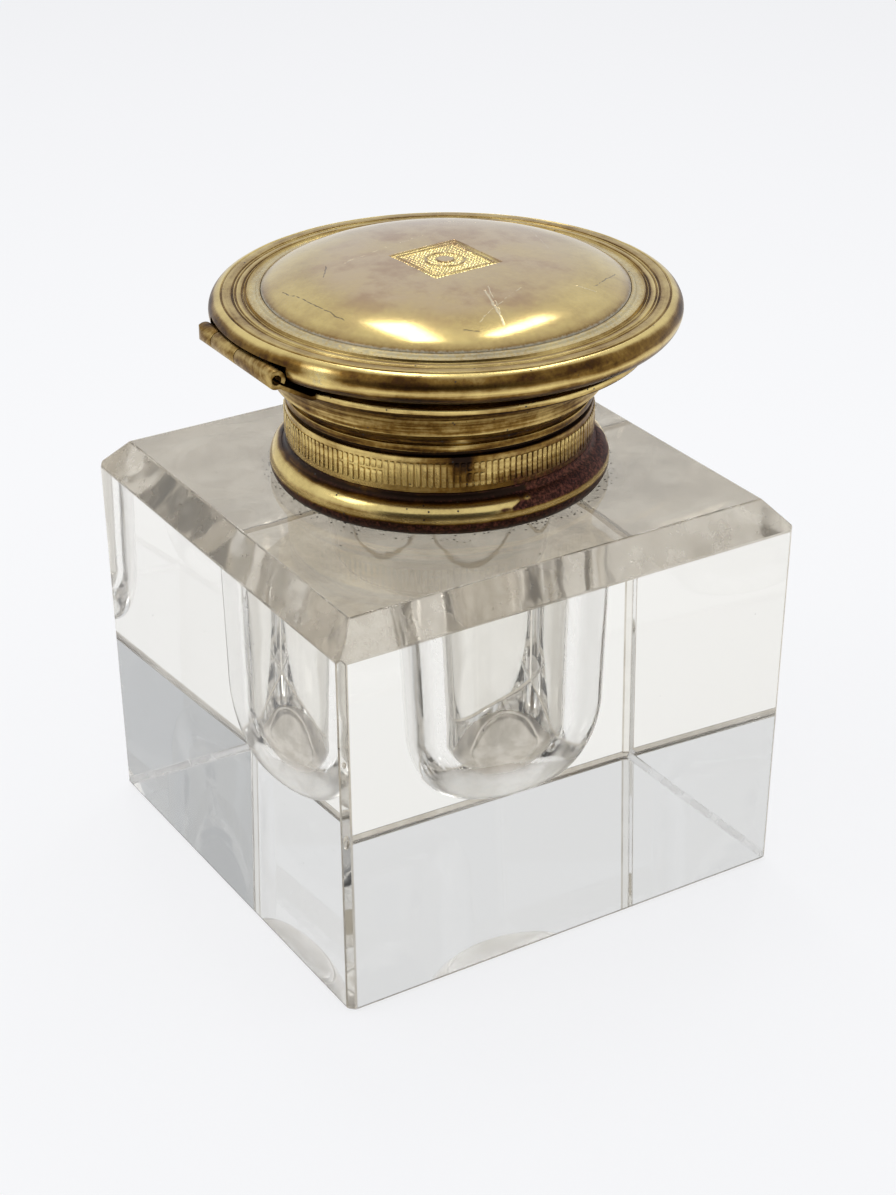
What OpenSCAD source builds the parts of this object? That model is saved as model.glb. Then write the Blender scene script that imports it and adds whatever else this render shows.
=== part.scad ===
// Square glass inkwell with a hinged brass lid.
// Millimetres, +Z up. The origin is the middle of the block's base.
// The hinge is at the back, towards +Y, and its pin runs along X.

/* [Glass block] */
// Width of the block, along the hinge pin
block_x = 57; // [55:0.5:64]
// Depth of the block, front to back
block_y = 58; // [56.5:0.5:65]
// Height of the block's flat top above its base
block_h = 46.8; // [40:0.2:56]
// How far the bevel round the top reaches in
bevel_in = 2.9; // [1.5:0.1:4]
// How far the same bevel drops down the sides
bevel_drop = 3.3; // [1.5:0.1:5]
// Width of the narrow flat ground on each upright edge
edge_flat = 1.4; // [0.6:0.1:2.4]
// How far each side leans in between the bevel and the base
side_lean = 0.5; // [0:0.1:1]
// Small bevel round the base
base_arris = 0.5; // [0.2:0.1:1.2]

/* [Well] */
// Radius of the well
well_r = 12.75; // [11.5:0.05:13.5]
// Height of the well's floor above the base
well_floor = 12.9; // [8:0.1:18]
// Radius of the round between the well's floor and its wall
well_corner = 5; // [3:0.25:7]
// Radius of the bore through the neck
neck_bore = 10.6; // [10:0.05:11.2]
// Height of the shoulder where the well narrows to the neck's bore
shoulder_h = 4; // [2:0.25:6]
// Depth from the block's top to the upper end of that shoulder
shoulder_depth = 1; // [0:0.25:3]

/* [Glass neck] */
// How far the neck stands off the block's middle along X, as it was ground by hand
neck_x = 1.5; // [0:0.1:1.5]
// How far the neck stands off the block's middle along Y
neck_y = -1.2; // [-1.2:0.1:0]
// Radius of the neck inside the brass collar
neck_r = 14.4; // [13.5:0.1:14.8]

/* [Collar] */
// Inner radius of the brass rings round the neck
collar_bore = 15.95; // [15.6:0.05:16.2]
// Largest radius of the foot ring's bead
foot_r = 19.2; // [18.6:0.1:20]
// Height of the foot ring
foot_h = 4.2; // [3.8:0.1:5]
// Radius of the bead's round section
bead_r = 2.1; // [1.8:0.05:2.4]
// Height of the middle of that section above the glass
bead_z = 1.45; // [1.2:0.05:1.6]
// Radius of the cove above the bead
cove_r = 0.95; // [0.6:0.05:1.2]
// Radius of the plain fillets of the reeded band
band_r = 17.3; // [17:0.05:17.7]
// Height of the reeded band
band_h = 4.2; // [3.4:0.1:5.4]
// Height of the plain fillets below and above the reeds
band_fillet = 0.7; // [0.4:0.05:1]
// Number of reeds round the band
reed_count = 156; // [120:2:180]
// How far the reeds stand out from those fillets
reed_depth = 0.16; // [0.08:0.02:0.26]
// Width of the cuts between the reeds
reed_cut = 0.22; // [0.14:0.02:0.3]
// Height of the flared ring above the band
flare_h = 6.8; // [6.2:0.1:8]
// Radius of the step where the flare's hollow curve starts
flare_step_r = 18.6; // [18.2:0.1:19.2]
// Radius of the flare's hollow curve
flare_curve = 3.9; // [3.4:0.1:4]
// Height of the first groove, just above the band
groove_h = 0.6; // [0.4:0.05:0.8]
// Height of the ridge above that groove
ridge_h = 0.75; // [0.5:0.05:0.9]
// Height of the second groove, above the ridge
quirk_h = 0.6; // [0.4:0.05:0.7]
// Height of the sloped step above the second groove
step_h = 1.05; // [0.8:0.05:1.2]
// Depth of the two grooves behind the ridge
groove_depth = 0.45; // [0.2:0.05:0.7]

/* [Mouth] */
// Radius of the rim plate that the lid closes on
plate_r = 22.65; // [22.4:0.05:23]
// Thickness of the rim plate
plate_t = 0.8; // [0.6:0.05:1.2]
// Wall of the sleeve that lines the mouth
sleeve_wall = 0.5; // [0.3:0.05:0.8]
// Length of the sleeve below the rim plate
sleeve_len = 6; // [4:0.25:9]
// Thickness of the sleeve's lip between the neck and the rim plate
lip_t = 0.4; // [0.3:0.05:0.8]
// Width of that lip beyond the neck's bore
lip_w = 2.6; // [1:0.1:3]
// How far the rim plate and lid stand forward of the neck, away from the hinge
head_fwd = 0.95; // [0:0.05:1]

/* [Lid] */
// Largest radius of the lid
lid_r = 26.1; // [25.9:0.05:26.3]
// Height of the lid's rolled rim
rim_h = 3.4; // [3:0.1:3.8]
// How much the rim's top rises from the roll to the dome
rim_rise = 0.35; // [0:0.05:0.8]
// Inner radius of the rim, under the dome
rim_bore = 18.8; // [17:0.1:19.4]
// Distance from the dome's foot to the middle of the shallow channel round it
channel_off = 1.05; // [0.9:0.05:1.2]
// Radius of that channel's round section
channel_w = 0.7; // [0.35:0.05:0.9]
// Depth of the channel
channel_depth = 0.24; // [0.1:0.02:0.3]
// Number of fine lines cut round the rim
line_count = 2; // [1:1:3]
// Distance from the middle of the channel to the first line
line_off = 1.9; // [1.2:0.05:2.2]
// Distance between the lines
line_step = 1.4; // [0.8:0.05:1.4]
// Depth of the lines
line_depth = 0.16; // [0.08:0.02:0.2]
// Radius of the dome at its foot
dome_r = 20.3; // [20:0.05:20.5]
// Rise of the dome above the rim
dome_rise = 2.95; // [2:0.05:6]
// How flat the dome's crown is: 2 is round, more is flatter
dome_flat = 3.2; // [2:0.1:4]
// How steep the dome's foot is: 1 is soft, less is steeper
dome_steep = 0.75; // [0.6:0.05:1]
// Thickness of the dome's sheet
dome_t = 0.7; // [0.5:0.05:1]
// Radius of the disc under the lid
disc_r = 20.3; // [19.8:0.1:20.4]
// Thickness of that disc
disc_t = 1.4; // [1.2:0.05:1.8]
// Depth of the ring under the disc that drops into the mouth
spigot_depth = 1.8; // [1:0.1:2.2]
// Wall of that ring
spigot_wall = 0.8; // [0.5:0.05:1.2]

/* [Hinge] */
// Distance of the pin behind the lid's middle
pin_back = 25.6; // [25.5:0.05:25.8]
// Height of the pin above the rim plate's top
pin_up = 2.4; // [2.3:0.05:2.6]
// Radius of the pin
pin_r = 0.5; // [0.4:0.02:0.54]
// How far the pin's ends are sunk in the outer knuckles
pin_recess = 1.2; // [0.2:0.1:2]
// Outer radius of the knuckles
knuckle_r = 1.05; // [1:0.01:1.12]
// Length of the collar's long knuckle, at the -X end
knuckle_long = 7.6; // [6:0.1:9]
// Length of the lid's knuckle
knuckle_mid = 5.4; // [4:0.1:7]
// Length of the collar's short knuckle, at the +X end
knuckle_short = 3.4; // [2.4:0.1:4.4]
// Thickness of the hinge's leaves
leaf_t = 0.5; // [0.4:0.02:0.54]
// Radius of the curve to which the knuckles are filed at the back
file_r = 27.5; // [25:0.5:32]
// Wall that the filing leaves behind the pin's bore, at the two ends of the barrel
file_wall = 0.1; // [0.05:0.01:0.3]
// How far the collar's leaf is let in from the rim plate's edge
leaf_seat = 2.05; // [1.6:0.05:2.4]

/* [Fits] */
// Gap between the glass, the cement and the brass round it
bed_gap = 0.08; // [0.02:0.01:0.12]
// Gap between the sleeve and the glass bore
sleeve_gap = 0.15; // [0.05:0.01:0.25]
// Gap between the closed lid and the rim plate
lid_gap = 0.15; // [0.1:0.01:0.25]
// Gap all round the ring that drops into the mouth
spigot_gap = 0.35; // [0.3:0.01:0.45]
// Gap between the pin and its knuckles
pin_gap = 0.05; // [0.03:0.01:0.08]
// Gap between the ends of neighbouring knuckles
knuckle_gap = 0.12; // [0.08:0.01:0.2]
// Gap between the knuckles and the notch in the lid's rim
notch_gap = 0.3; // [0.2:0.02:0.36]
// Gap between the dome's edge and its seat in the rim
dome_gap = 0.05; // [0.03:0.01:0.08]

/* [Hidden] */
$fn = 120;

// a little extra, so that cuts pass right through
eps = 0.01;
over = 1;

// heights above the block's base
bevel_z = block_h - bevel_drop;
band_z = block_h + foot_h;
flare_z = band_z + band_h;
plate_z = flare_z + flare_h;
plate_top = plate_z + plate_t;
neck_top = plate_z - lip_t;
disc_z = plate_top + lid_gap;
rim_z = disc_z + disc_t;
seat_top = rim_z + rim_h + rim_rise;
pin_z = plate_top + pin_up;

// the well's shoulder
shoulder_top = block_h - shoulder_depth;
shoulder_z = shoulder_top - shoulder_h;

// middle of the neck, and of the rim plate and lid in front of it
head_y = neck_y - head_fwd;
pin_y = head_y + pin_back;

// radii that follow from the fits
cement_in = neck_r + bed_gap;
cement_out = collar_bore - bed_gap;
sleeve_out = neck_bore - sleeve_gap;
sleeve_in = sleeve_out - sleeve_wall;
lip_r = neck_bore + lip_w;
spigot_out = sleeve_in - spigot_gap;
dome_seat = dome_r + dome_gap;
channel_r = dome_r + channel_off;
roll_r = rim_h / 2;
roll_x = lid_r - roll_r;
knuckle_bore = pin_r + pin_gap;

// the hinge along X, from the long knuckle's end, with the whole barrel centred on the lid
barrel_len = knuckle_long + knuckle_mid + knuckle_short;
barrel_x = neck_x - barrel_len / 2;
mid_x = barrel_x + knuckle_long;
short_x = mid_x + knuckle_mid;

// middle of the filed curve, which passes closest behind the pin's bore at the barrel's ends
file_y = pin_y + knuckle_bore + file_wall - sqrt(pow(file_r, 2) - pow(barrel_len / 2, 2));

// the notch in the lid's rim: the pin's centre to the notch's front wall and to its roof
notch_front = knuckle_r + leaf_t;
notch_roof = knuckle_r + notch_gap;

// the collar leaf: where it leaves the rim plate, and where it starts to rise to the pin
leaf_front = head_y + plate_r - leaf_seat;
leaf_bend = leaf_front + 2 * leaf_t;

// colours
glass_tint = [0.86, 0.89, 0.87, 0.45];
cement_tint = [0.82, 0.79, 0.72];
brass_old = [0.62, 0.50, 0.27];
brass_dark = [0.42, 0.33, 0.20];
steel_tint = [0.45, 0.43, 0.41];

// points of one upright face of the block, from the base to the top
function side_points(half) = [
  [half - side_lean - base_arris, 0],
  [half - side_lean, base_arris],
  [half, bevel_z],
  [half - bevel_in, block_h]
];
function mirrored(points) = [for (i = [len(points) - 1:-1:0]) [-points[i][0], points[i][1]]];

// section of the block between two opposite faces
module block_section(half) {
  polygon(concat(side_points(half), mirrored(side_points(half))));
}

// section between two opposite upright edges, which keeps the flat ground on each
module edge_section() {
  reach = (block_x + block_y - edge_flat * sqrt(2)) / 2 / sqrt(2);
  foot = reach - side_lean * sqrt(2);
  polygon([[-foot, 0], [foot, 0], [reach, bevel_z], [reach, block_h], [-reach, block_h], [-reach, bevel_z]]);
}

// a section stood upright and drawn out along the direction at this angle
module drawn_along(angle) {
  rotate([90, 0, angle]) linear_extrude(height = block_x + block_y, center = true) children();
}

module block_blank() {
  intersection() {
    drawn_along(0) block_section(block_x / 2);
    drawn_along(90) block_section(block_y / 2);
    drawn_along(45) edge_section();
    drawn_along(135) edge_section();
  }
}

// half section of the hollow: the well with its rounded floor, the shoulder and the bore
module well_section() {
  corner_x = well_r - well_corner;
  corner_z = well_floor + well_corner;
  translate([0, well_floor]) square([corner_x, well_corner + eps]);
  intersection() {
    translate([corner_x, corner_z]) circle(well_corner);
    translate([0, well_floor]) square([well_r, well_corner + eps]);
  }
  translate([0, corner_z]) square([well_r, shoulder_z - corner_z]);
  polygon([[0, shoulder_z - eps], [well_r, shoulder_z], [neck_bore, shoulder_top], [0, shoulder_top + eps]]);
  translate([0, shoulder_top]) square([neck_bore, neck_top - shoulder_top + over]);
}

module at_neck(z) {
  translate([neck_x, neck_y, z]) children();
}

module at_head(z) {
  translate([neck_x, head_y, z]) children();
}

module tube(outer, inner, height) {
  difference() {
    cylinder(r = outer, h = height);
    translate([0, 0, -over]) cylinder(r = inner, h = height + 2 * over);
  }
}

// one solid piece of glass: the block, its short neck and the well
module glass_block() {
  color(glass_tint)
  difference() {
    union() {
      block_blank();
      at_neck(block_h - over) cylinder(r = neck_r, h = neck_top - block_h + over);
    }
    at_neck(0) rotate_extrude() well_section();
  }
}

// the cement that holds the brass rings on the neck
module cement_bed() {
  color(cement_tint) at_neck(block_h) tube(cement_out, cement_in, plate_z - block_h);
}

// foot ring: a bead on the glass with a cove above it
module foot_ring() {
  bead_x = foot_r - bead_r;
  color(brass_old)
  at_neck(block_h) rotate_extrude() difference() {
    intersection() {
      union() {
        translate([bead_x, bead_z]) circle(bead_r);
        translate([collar_bore, 0]) square([bead_x - collar_bore, foot_h]);
        translate([bead_x - eps, 0]) square([band_r + cove_r - bead_x, foot_h]);
      }
      translate([collar_bore, 0]) square([foot_r, foot_h]);
    }
    translate([band_r + cove_r, foot_h]) circle(cove_r);
  }
}

// outline of the reeds: flat crests with narrow cuts between them, and a sloped wall to each cut
function reed_points() =
  let (
    pitch = 360 / reed_count,
    cut = reed_cut / band_r * 180 / PI,
    wall = cut / 4,
    floor_r = band_r + eps,
    crest_r = floor_r + reed_depth,
    corners = [[crest_r, 0], [crest_r, pitch - cut], [floor_r, pitch - cut + wall], [floor_r, pitch - wall]]
  )
  [
    for (i = [0:reed_count - 1], c = corners)
    let (angle = i * pitch + c[1])
    [c[0] * cos(angle), c[0] * sin(angle)]
  ];

// the band with its reeds, and a plain fillet below and above them
module reeded_band() {
  color(brass_old)
  at_neck(band_z) difference() {
    union() {
      cylinder(r = band_r, h = band_fillet);
      translate([0, 0, band_fillet])
        linear_extrude(height = band_h - 2 * band_fillet) polygon(reed_points());
      translate([0, 0, band_h - band_fillet]) cylinder(r = band_r, h = band_fillet);
    }
    translate([0, 0, -over]) cylinder(r = collar_bore, h = band_h + 2 * over);
  }
}

// flared ring: two small grooves and a step, then a hollow curve out to the rim plate
module flared_ring() {
  ridge_z = groove_h;
  ridge_r = band_r;
  quirk_z = ridge_z + ridge_h;
  step_z = quirk_z + quirk_h;
  curve_z = step_z + step_h;
  flare_out = flare_step_r + flare_curve;
  color(brass_dark)
  at_neck(flare_z) rotate_extrude() difference() {
    union() {
      translate([collar_bore, 0]) square([ridge_r - groove_depth - collar_bore, flare_h]);
      translate([collar_bore, ridge_z]) square([ridge_r - collar_bore, ridge_h]);
      polygon([
        [collar_bore, step_z],
        [ridge_r, step_z],
        [flare_step_r, curve_z - eps],
        [collar_bore, curve_z]
      ]);
      translate([collar_bore, curve_z - eps]) square([flare_out - collar_bore, flare_h - curve_z + eps]);
    }
    translate([flare_out, curve_z]) circle(flare_curve);
    translate([flare_out - eps, curve_z - over]) square([over, flare_h]);
  }
}

// the flat plate that the lid closes on, with a straight cut at the back for the hinge leaf
module rim_plate() {
  color(brass_dark)
  difference() {
    at_head(plate_z) cylinder(r = plate_r, h = plate_t);
    at_neck(plate_z - over) cylinder(r = sleeve_in, h = plate_t + 2 * over);
    translate([barrel_x, leaf_front, plate_z - over]) cube([barrel_len, plate_r, plate_t + 2 * over]);
  }
}

// the sleeve that lines the mouth, held by a lip between the neck and the rim plate
module mouth_sleeve() {
  color(brass_dark) {
    at_neck(plate_z - lip_t) tube(lip_r, sleeve_in, lip_t);
    at_neck(plate_z - sleeve_len) tube(sleeve_out, sleeve_in, sleeve_len - lip_t + eps);
  }
}

// one knuckle, from x to x + length, filed at the back to follow the lid
module knuckle(x, length) {
  intersection() {
    translate([x, pin_y, pin_z]) rotate([0, 90, 0]) cylinder(r = knuckle_r, h = length);
    translate([neck_x, file_y, pin_z - 2 * knuckle_r]) cylinder(r = file_r, h = 4 * knuckle_r);
  }
}

module pin_bore(x, length) {
  translate([x - over, pin_y, pin_z]) rotate([0, 90, 0]) cylinder(r = knuckle_bore, h = length + 2 * over);
}

// the strip from the rim plate to the pin, in the Y Z plane
module leaf_section() {
  rise_end = pin_y - knuckle_r / 4;
  low = pin_z - knuckle_r;
  polygon([
    [leaf_front, plate_z],
    [leaf_bend, plate_z],
    [rise_end, low + eps],
    [rise_end, low + leaf_t],
    [leaf_bend, plate_z + leaf_t],
    [leaf_front, plate_z + leaf_t]
  ]);
}

// the collar's leaf: one strip rolled into a long and a short knuckle
module collar_leaf() {
  slot_t = leaf_t / 2;
  color(brass_old)
  difference() {
    union() {
      difference() {
        translate([barrel_x, 0, 0]) rotate([90, 0, 90]) linear_extrude(height = barrel_len) leaf_section();
        // room for the lid's knuckle
        translate([mid_x, pin_y - knuckle_r - notch_gap, pin_z - 2 * notch_front])
          cube([knuckle_mid, 2 * notch_front, 2 * notch_front]);
      }
      knuckle(barrel_x, knuckle_long);
      knuckle(short_x, knuckle_short);
    }
    pin_bore(barrel_x, barrel_len);
    // where the rolled edge comes back down to the strip
    translate([barrel_x - over, pin_y - 2 * knuckle_r, pin_z - knuckle_bore])
      cube([barrel_len + 2 * over, 2 * knuckle_r, slot_t]);
  }
}

module hinge_pin() {
  color(steel_tint)
  translate([barrel_x + pin_recess, pin_y, pin_z]) rotate([0, 90, 0])
    cylinder(r = pin_r, h = barrel_len - 2 * pin_recess);
}

// the lid's leaf: the middle knuckle, and a strip let into the underside of the rim
module lid_leaf() {
  front = head_y + disc_r + notch_gap;
  x = mid_x + knuckle_gap;
  length = knuckle_mid - 2 * knuckle_gap;
  color(brass_old)
  difference() {
    union() {
      translate([x, front, rim_z]) cube([length, pin_y - knuckle_bore - front, leaf_t]);
      knuckle(x, length);
    }
    pin_bore(x, length);
  }
}

// height of the rim's sloping top above its underside, from the dome out to the roll
function slope_z(r) = rim_h + rim_rise * (roll_x - r) / (roll_x - dome_r);

// half section of the lid's rim: a roll, a slope with fine grooves, and a seat for the dome
module rim_section() {
  inside_h = rim_h + rim_rise;
  difference() {
    union() {
      translate([roll_x, roll_r]) circle(roll_r);
      polygon([[rim_bore, 0], [roll_x, 0], [roll_x, rim_h], [dome_r, inside_h], [rim_bore, inside_h]]);
    }
    translate([rim_bore - over, inside_h - dome_t]) square([dome_seat - rim_bore + over, dome_t + over]);
    translate([channel_r, slope_z(channel_r) + channel_w - channel_depth]) circle(channel_w);
    for (i = [0:line_count - 1])
      let (r = channel_r + line_off + i * line_step) translate([r, slope_z(r)]) circle(line_depth);
  }
}

// the lid's rim: a turned ring, notched at the back for the hinge
module lid_rim() {
  color(brass_old)
  difference() {
    at_head(rim_z) rotate_extrude() rim_section();
    // the notch for the knuckles
    translate([barrel_x - notch_gap, pin_y - notch_front, rim_z - over])
      cube([barrel_len + 2 * notch_gap, lid_r, pin_z + notch_roof - rim_z + over]);
    // the rebate for the lid's leaf
    translate([mid_x + knuckle_gap - bed_gap, head_y + disc_r, rim_z - over])
      cube([knuckle_mid - 2 * knuckle_gap + 2 * bed_gap, lid_r, leaf_t + over]);
  }
}

// the dome's height at a radius, for a dome of this foot radius and rise
function dome_z(r, foot, rise) = rise * pow(1 - pow(r / foot, dome_flat), dome_steep);
function dome_curve(foot, rise, steps) = [
  for (i = [0:steps]) let (r = foot * sin(90 * i / steps)) [r, dome_z(r, foot, rise)]
];
function reversed(points) = [for (i = [len(points) - 1:-1:0]) points[i]];

// the dome: a pressed sheet, its straight edge sunk into the rim
module lid_dome() {
  steps = 20;
  outside = dome_curve(dome_r, dome_rise, steps);
  inside = dome_curve(dome_r - dome_t, dome_rise - dome_t, steps);
  edge = [[dome_r, -dome_t], [dome_r - dome_t, -dome_t]];
  color(brass_old) at_head(seat_top) rotate_extrude() polygon(concat(outside, edge, reversed(inside)));
}

// the disc that closes the lid underneath
module lid_disc() {
  color(brass_dark) at_head(disc_z) cylinder(r = disc_r, h = disc_t);
}

// the ring under the disc that drops into the mouth
module lid_spigot() {
  color(brass_dark) at_neck(disc_z - spigot_depth) tube(spigot_out, spigot_out - spigot_wall, spigot_depth);
}

glass_block();
cement_bed();
foot_ring();
reeded_band();
flared_ring();
rim_plate();
mouth_sleeve();
collar_leaf();
hinge_pin();
lid_leaf();
lid_rim();
lid_dome();
lid_disc();
lid_spigot();
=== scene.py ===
from math import cos, exp, pi, radians, sin
import bmesh
import bpy
import numpy as np
from mathutils import Matrix, Vector


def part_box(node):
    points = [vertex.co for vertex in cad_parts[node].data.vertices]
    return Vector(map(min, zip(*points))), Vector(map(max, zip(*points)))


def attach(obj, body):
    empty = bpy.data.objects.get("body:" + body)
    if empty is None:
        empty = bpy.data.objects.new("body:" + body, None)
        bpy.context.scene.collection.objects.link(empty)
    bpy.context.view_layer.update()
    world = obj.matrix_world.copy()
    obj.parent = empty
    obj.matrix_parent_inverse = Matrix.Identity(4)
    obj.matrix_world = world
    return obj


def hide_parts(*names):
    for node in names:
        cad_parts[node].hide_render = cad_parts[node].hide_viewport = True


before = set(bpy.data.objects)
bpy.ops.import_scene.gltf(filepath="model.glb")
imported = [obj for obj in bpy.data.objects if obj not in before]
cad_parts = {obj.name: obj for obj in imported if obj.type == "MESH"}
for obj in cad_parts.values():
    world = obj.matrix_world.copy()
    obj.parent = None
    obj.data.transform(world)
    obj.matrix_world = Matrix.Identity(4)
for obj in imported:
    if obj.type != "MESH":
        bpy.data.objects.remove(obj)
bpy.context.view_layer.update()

mm = 0.001

# The camera
# It looks down a little on the hinge side, past the block's near upright edge, from about 300 mm away.
camera_turn, camera_rise, camera_roll = radians(-121.721), radians(27.738), radians(-0.209)
camera_distance, camera_aside, camera_lift = 303.494 * mm, 1.046 * mm, 26.924 * mm
camera_lens = 75.24


def direction(turn, rise):
    """The unit vector at this turn round the object and this rise above the table."""
    return Vector((sin(turn) * cos(rise), -cos(turn) * cos(rise), sin(rise)))


back = direction(camera_turn, camera_rise)
level = Vector((cos(camera_turn), sin(camera_turn), 0))
upright = back.cross(level)
aside = level * cos(camera_roll) + upright * sin(camera_roll)
lift = upright * cos(camera_roll) - level * sin(camera_roll)
camera_place = back * camera_distance + aside * camera_aside + lift * camera_lift
camera = bpy.data.objects.new("camera", bpy.data.cameras.new("camera"))
camera.data.lens = camera_lens
camera.data.clip_start, camera.data.clip_end = 0.01, 50
camera.matrix_world = Matrix.Translation(camera_place) @ Matrix((aside, lift, back)).transposed().to_4x4()
bpy.context.collection.objects.link(camera)
scene = bpy.context.scene
scene.camera = camera
scene.view_settings.view_transform = "Standard"
# a solid block of glass sends light round inside itself many times, so paths may be long
scene.cycles.max_bounces, scene.cycles.glossy_bounces, scene.cycles.transmission_bounces = 32, 24, 24


# The table and the light
# A plain pale table top that runs out of sight, under an even bright sky, with three soft boxes over the lid. A dark
# card stands behind the camera for the metal to mirror, and a blue-grey wall stands where only the glass shows it.
class Wire:
    """What a node gives out. Adding or multiplying wires puts in the nodes that work the result out."""

    def __init__(self, socket):
        self.socket, self.tree = socket, socket.id_data

    def __add__(self, other):
        return step("ADD", self, other)

    def __mul__(self, other):
        return step("MULTIPLY", self, other)

    def __sub__(self, other):
        return step("SUBTRACT", self, other)

    def __rsub__(self, other):
        return step("SUBTRACT", other, self)

    __radd__, __rmul__ = __add__, __mul__


def node(tree, kind, inputs=None, **settings):
    """Adds a node; an input is a value, a colour of three numbers or a wire."""
    made = tree.nodes.new(kind)
    for key, value in settings.items():
        setattr(made, key, value)
    for key, value in (inputs or {}).items():
        if isinstance(value, Wire):
            tree.links.new(value.socket, made.inputs[key])
        else:
            made.inputs[key].default_value = (*value, 1) if made.inputs[key].type == "RGBA" else value
    return made


def wire(tree, kind, inputs=None, output=0, **settings):
    """Adds a node and gives one of its outputs."""
    return Wire(node(tree, kind, inputs, **settings).outputs[output])


def tree_of(*values):
    return next(v.tree for v in values if isinstance(v, Wire))


def step(operation, *values, clamp=False):
    """One step of arithmetic on numbers and wires."""
    return wire(tree_of(*values), "ShaderNodeMath", dict(enumerate(values)), operation=operation, use_clamp=clamp)


def highest(*values):
    return step("MAXIMUM", *values)


def vector_step(operation, first, second=None, scale=None, output=0):
    """One step of arithmetic on points and directions."""
    inputs = {key: value for key, value in ((0, first), (1, second), ("Scale", scale)) if value is not None}
    return wire(tree_of(*inputs.values()), "ShaderNodeVectorMath", inputs, output, operation=operation)


def between(value, low, high, start=0.0, end=1.0, kind="SMOOTHSTEP"):
    """Value mapped from one range to another, and held at its ends."""
    return wire(value.tree, "ShaderNodeMapRange", {
        "Value": value, "From Min": low, "From Max": high, "To Min": start, "To Max": end}, interpolation_type=kind)


def blended(share, first, second):
    """One colour mixed into another."""
    return wire(tree_of(share, first, second), "ShaderNodeMix", {0: share, 6: first, 7: second}, 2, data_type="RGBA")


def new_material(name):
    """A material with an empty tree, and the tree."""
    material = bpy.data.materials.new(name)
    material.use_nodes = True
    material.node_tree.nodes.clear()
    return material, material.node_tree


def shown_piece(name, mesh):
    made = bpy.data.objects.new(name, mesh)
    bpy.context.collection.objects.link(made)
    return made


def stage_sheet(name, width, depth, matrix, material, share, usual, shining):
    """A plain rectangle round the part. It shines plainly to some rays, and has its usual shader for the rest."""
    x, y = width / 2, depth / 2
    mesh = bpy.data.meshes.new(name)
    mesh.from_pydata([matrix @ Vector(c) for c in ((-x, -y, 0), (x, -y, 0), (x, y, 0), (-x, y, 0))], [], [(0, 1, 2, 3)])
    mesh.materials.append(material)
    tree = material.node_tree
    glow = wire(tree, "ShaderNodeEmission", {"Color": shining, "Strength": 1.0})
    mixed = wire(tree, "ShaderNodeMixShader", {0: share, 1: usual, 2: glow})
    node(tree, "ShaderNodeOutputMaterial", {"Surface": mixed})
    sheet = shown_piece(name, mesh)
    return sheet


def ray(tree, kind):
    return wire(tree, "ShaderNodeLightPath", output=f"Is {kind} Ray")


def facing(heading):
    return heading.to_track_quat("Z", "Y").to_matrix().to_4x4()


table_size = 6.0
table_drop = 0.03 * mm
paper_white, paper_glow, far_glow = (0.90, 0.90, 0.915), (0.985, 0.988, 1.0), (0.80, 0.80, 0.815)
glow_near, glow_far = 0.12, 0.75
glow_share, glow_through_glass = 0.80, 0.38

material, tree = new_material("pale_table")
from_middle = vector_step("LENGTH", wire(tree, "ShaderNodeTexCoord", output="Object"), output="Value")
# the table's glow is painted dimmer away from the object: a painted fall-off of light
falling = between(from_middle, glow_near, glow_far, kind="LINEAR")
seen = highest(ray(tree, "Camera"), ray(tree, "Glossy")) * glow_share
seen = highest(seen, ray(tree, "Transmission") * glow_through_glass)
stage_sheet("table_top", table_size, table_size, Matrix.Translation((0, 0, -table_drop)), material, seen,
            wire(tree, "ShaderNodeBsdfDiffuse", {"Color": paper_white}), blended(falling, paper_glow, far_glow))

sky_colour = (0.93, 0.95, 1.0, 1)
sky_strength = 0.80
world = bpy.data.worlds.new("studio")
scene.world = world
world.use_nodes = True
sky = world.node_tree.nodes["Background"]
sky.inputs["Color"].default_value = sky_colour
sky.inputs["Strength"].default_value = sky_strength


def hidden_sheet(name, width, height, middle, heading, through_glass, usual_kind, usual_inputs=None):
    """An upright sheet that the camera doesn't see by itself. Through glass it has one plain colour."""
    material, tree = new_material(name)
    sheet = stage_sheet(name, width, height, Matrix.Translation(middle) @ facing(heading), material,
                        ray(tree, "Transmission"), wire(tree, usual_kind, usual_inputs), through_glass)
    sheet.visible_camera = False
    sheet.visible_shadow = False


card_width, card_height, card_distance, card_foot = 1.1, 0.46, 0.62, 0.03
toward_camera = Vector((back.x, back.y, 0)).normalized()
card_middle = toward_camera * card_distance + Vector((0, 0, card_foot + card_height / 2))
hidden_sheet("dark_card", card_width, card_height, card_middle, toward_camera, (0.56, 0.555, 0.54),
             "ShaderNodeBsdfDiffuse", {"Color": (0.075, 0.07, 0.065)})

wall_width, wall_height, wall_distance, wall_turn, wall_rise = 0.40, 0.36, 0.70, radians(63), radians(29)
toward_wall = direction(camera_turn + wall_turn, wall_rise)
hidden_sheet("blue_grey_wall", wall_width, wall_height, toward_wall * wall_distance, toward_wall, (0.44, 0.46, 0.49),
             "ShaderNodeBsdfTransparent")

lid_height = Vector((0, 0, 68 * mm))
box_distance = 0.85
soft_boxes = {
    # how far it is turned from the camera and how high it hangs in degrees, its width and height, and its power
    "left": (194, 62, 0.11, 0.34, 0.60),
    "right": (158, 55, 0.07, 0.30, 0.32),
    "side": (287, 44, 0.22, 0.30, 0.50),
}
for name, (turn, rise, width, height, power) in soft_boxes.items():
    place = direction(camera_turn + radians(turn), radians(rise))
    lamp = bpy.data.lights.new(f"soft_box_{name}", "AREA")
    lamp.shape, lamp.size, lamp.size_y, lamp.energy = "RECTANGLE", width, height, power
    made = shown_piece(f"soft_box_{name}", lamp)
    made.matrix_world = Matrix.Translation(place * box_distance + lid_height) @ facing(place)


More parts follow.
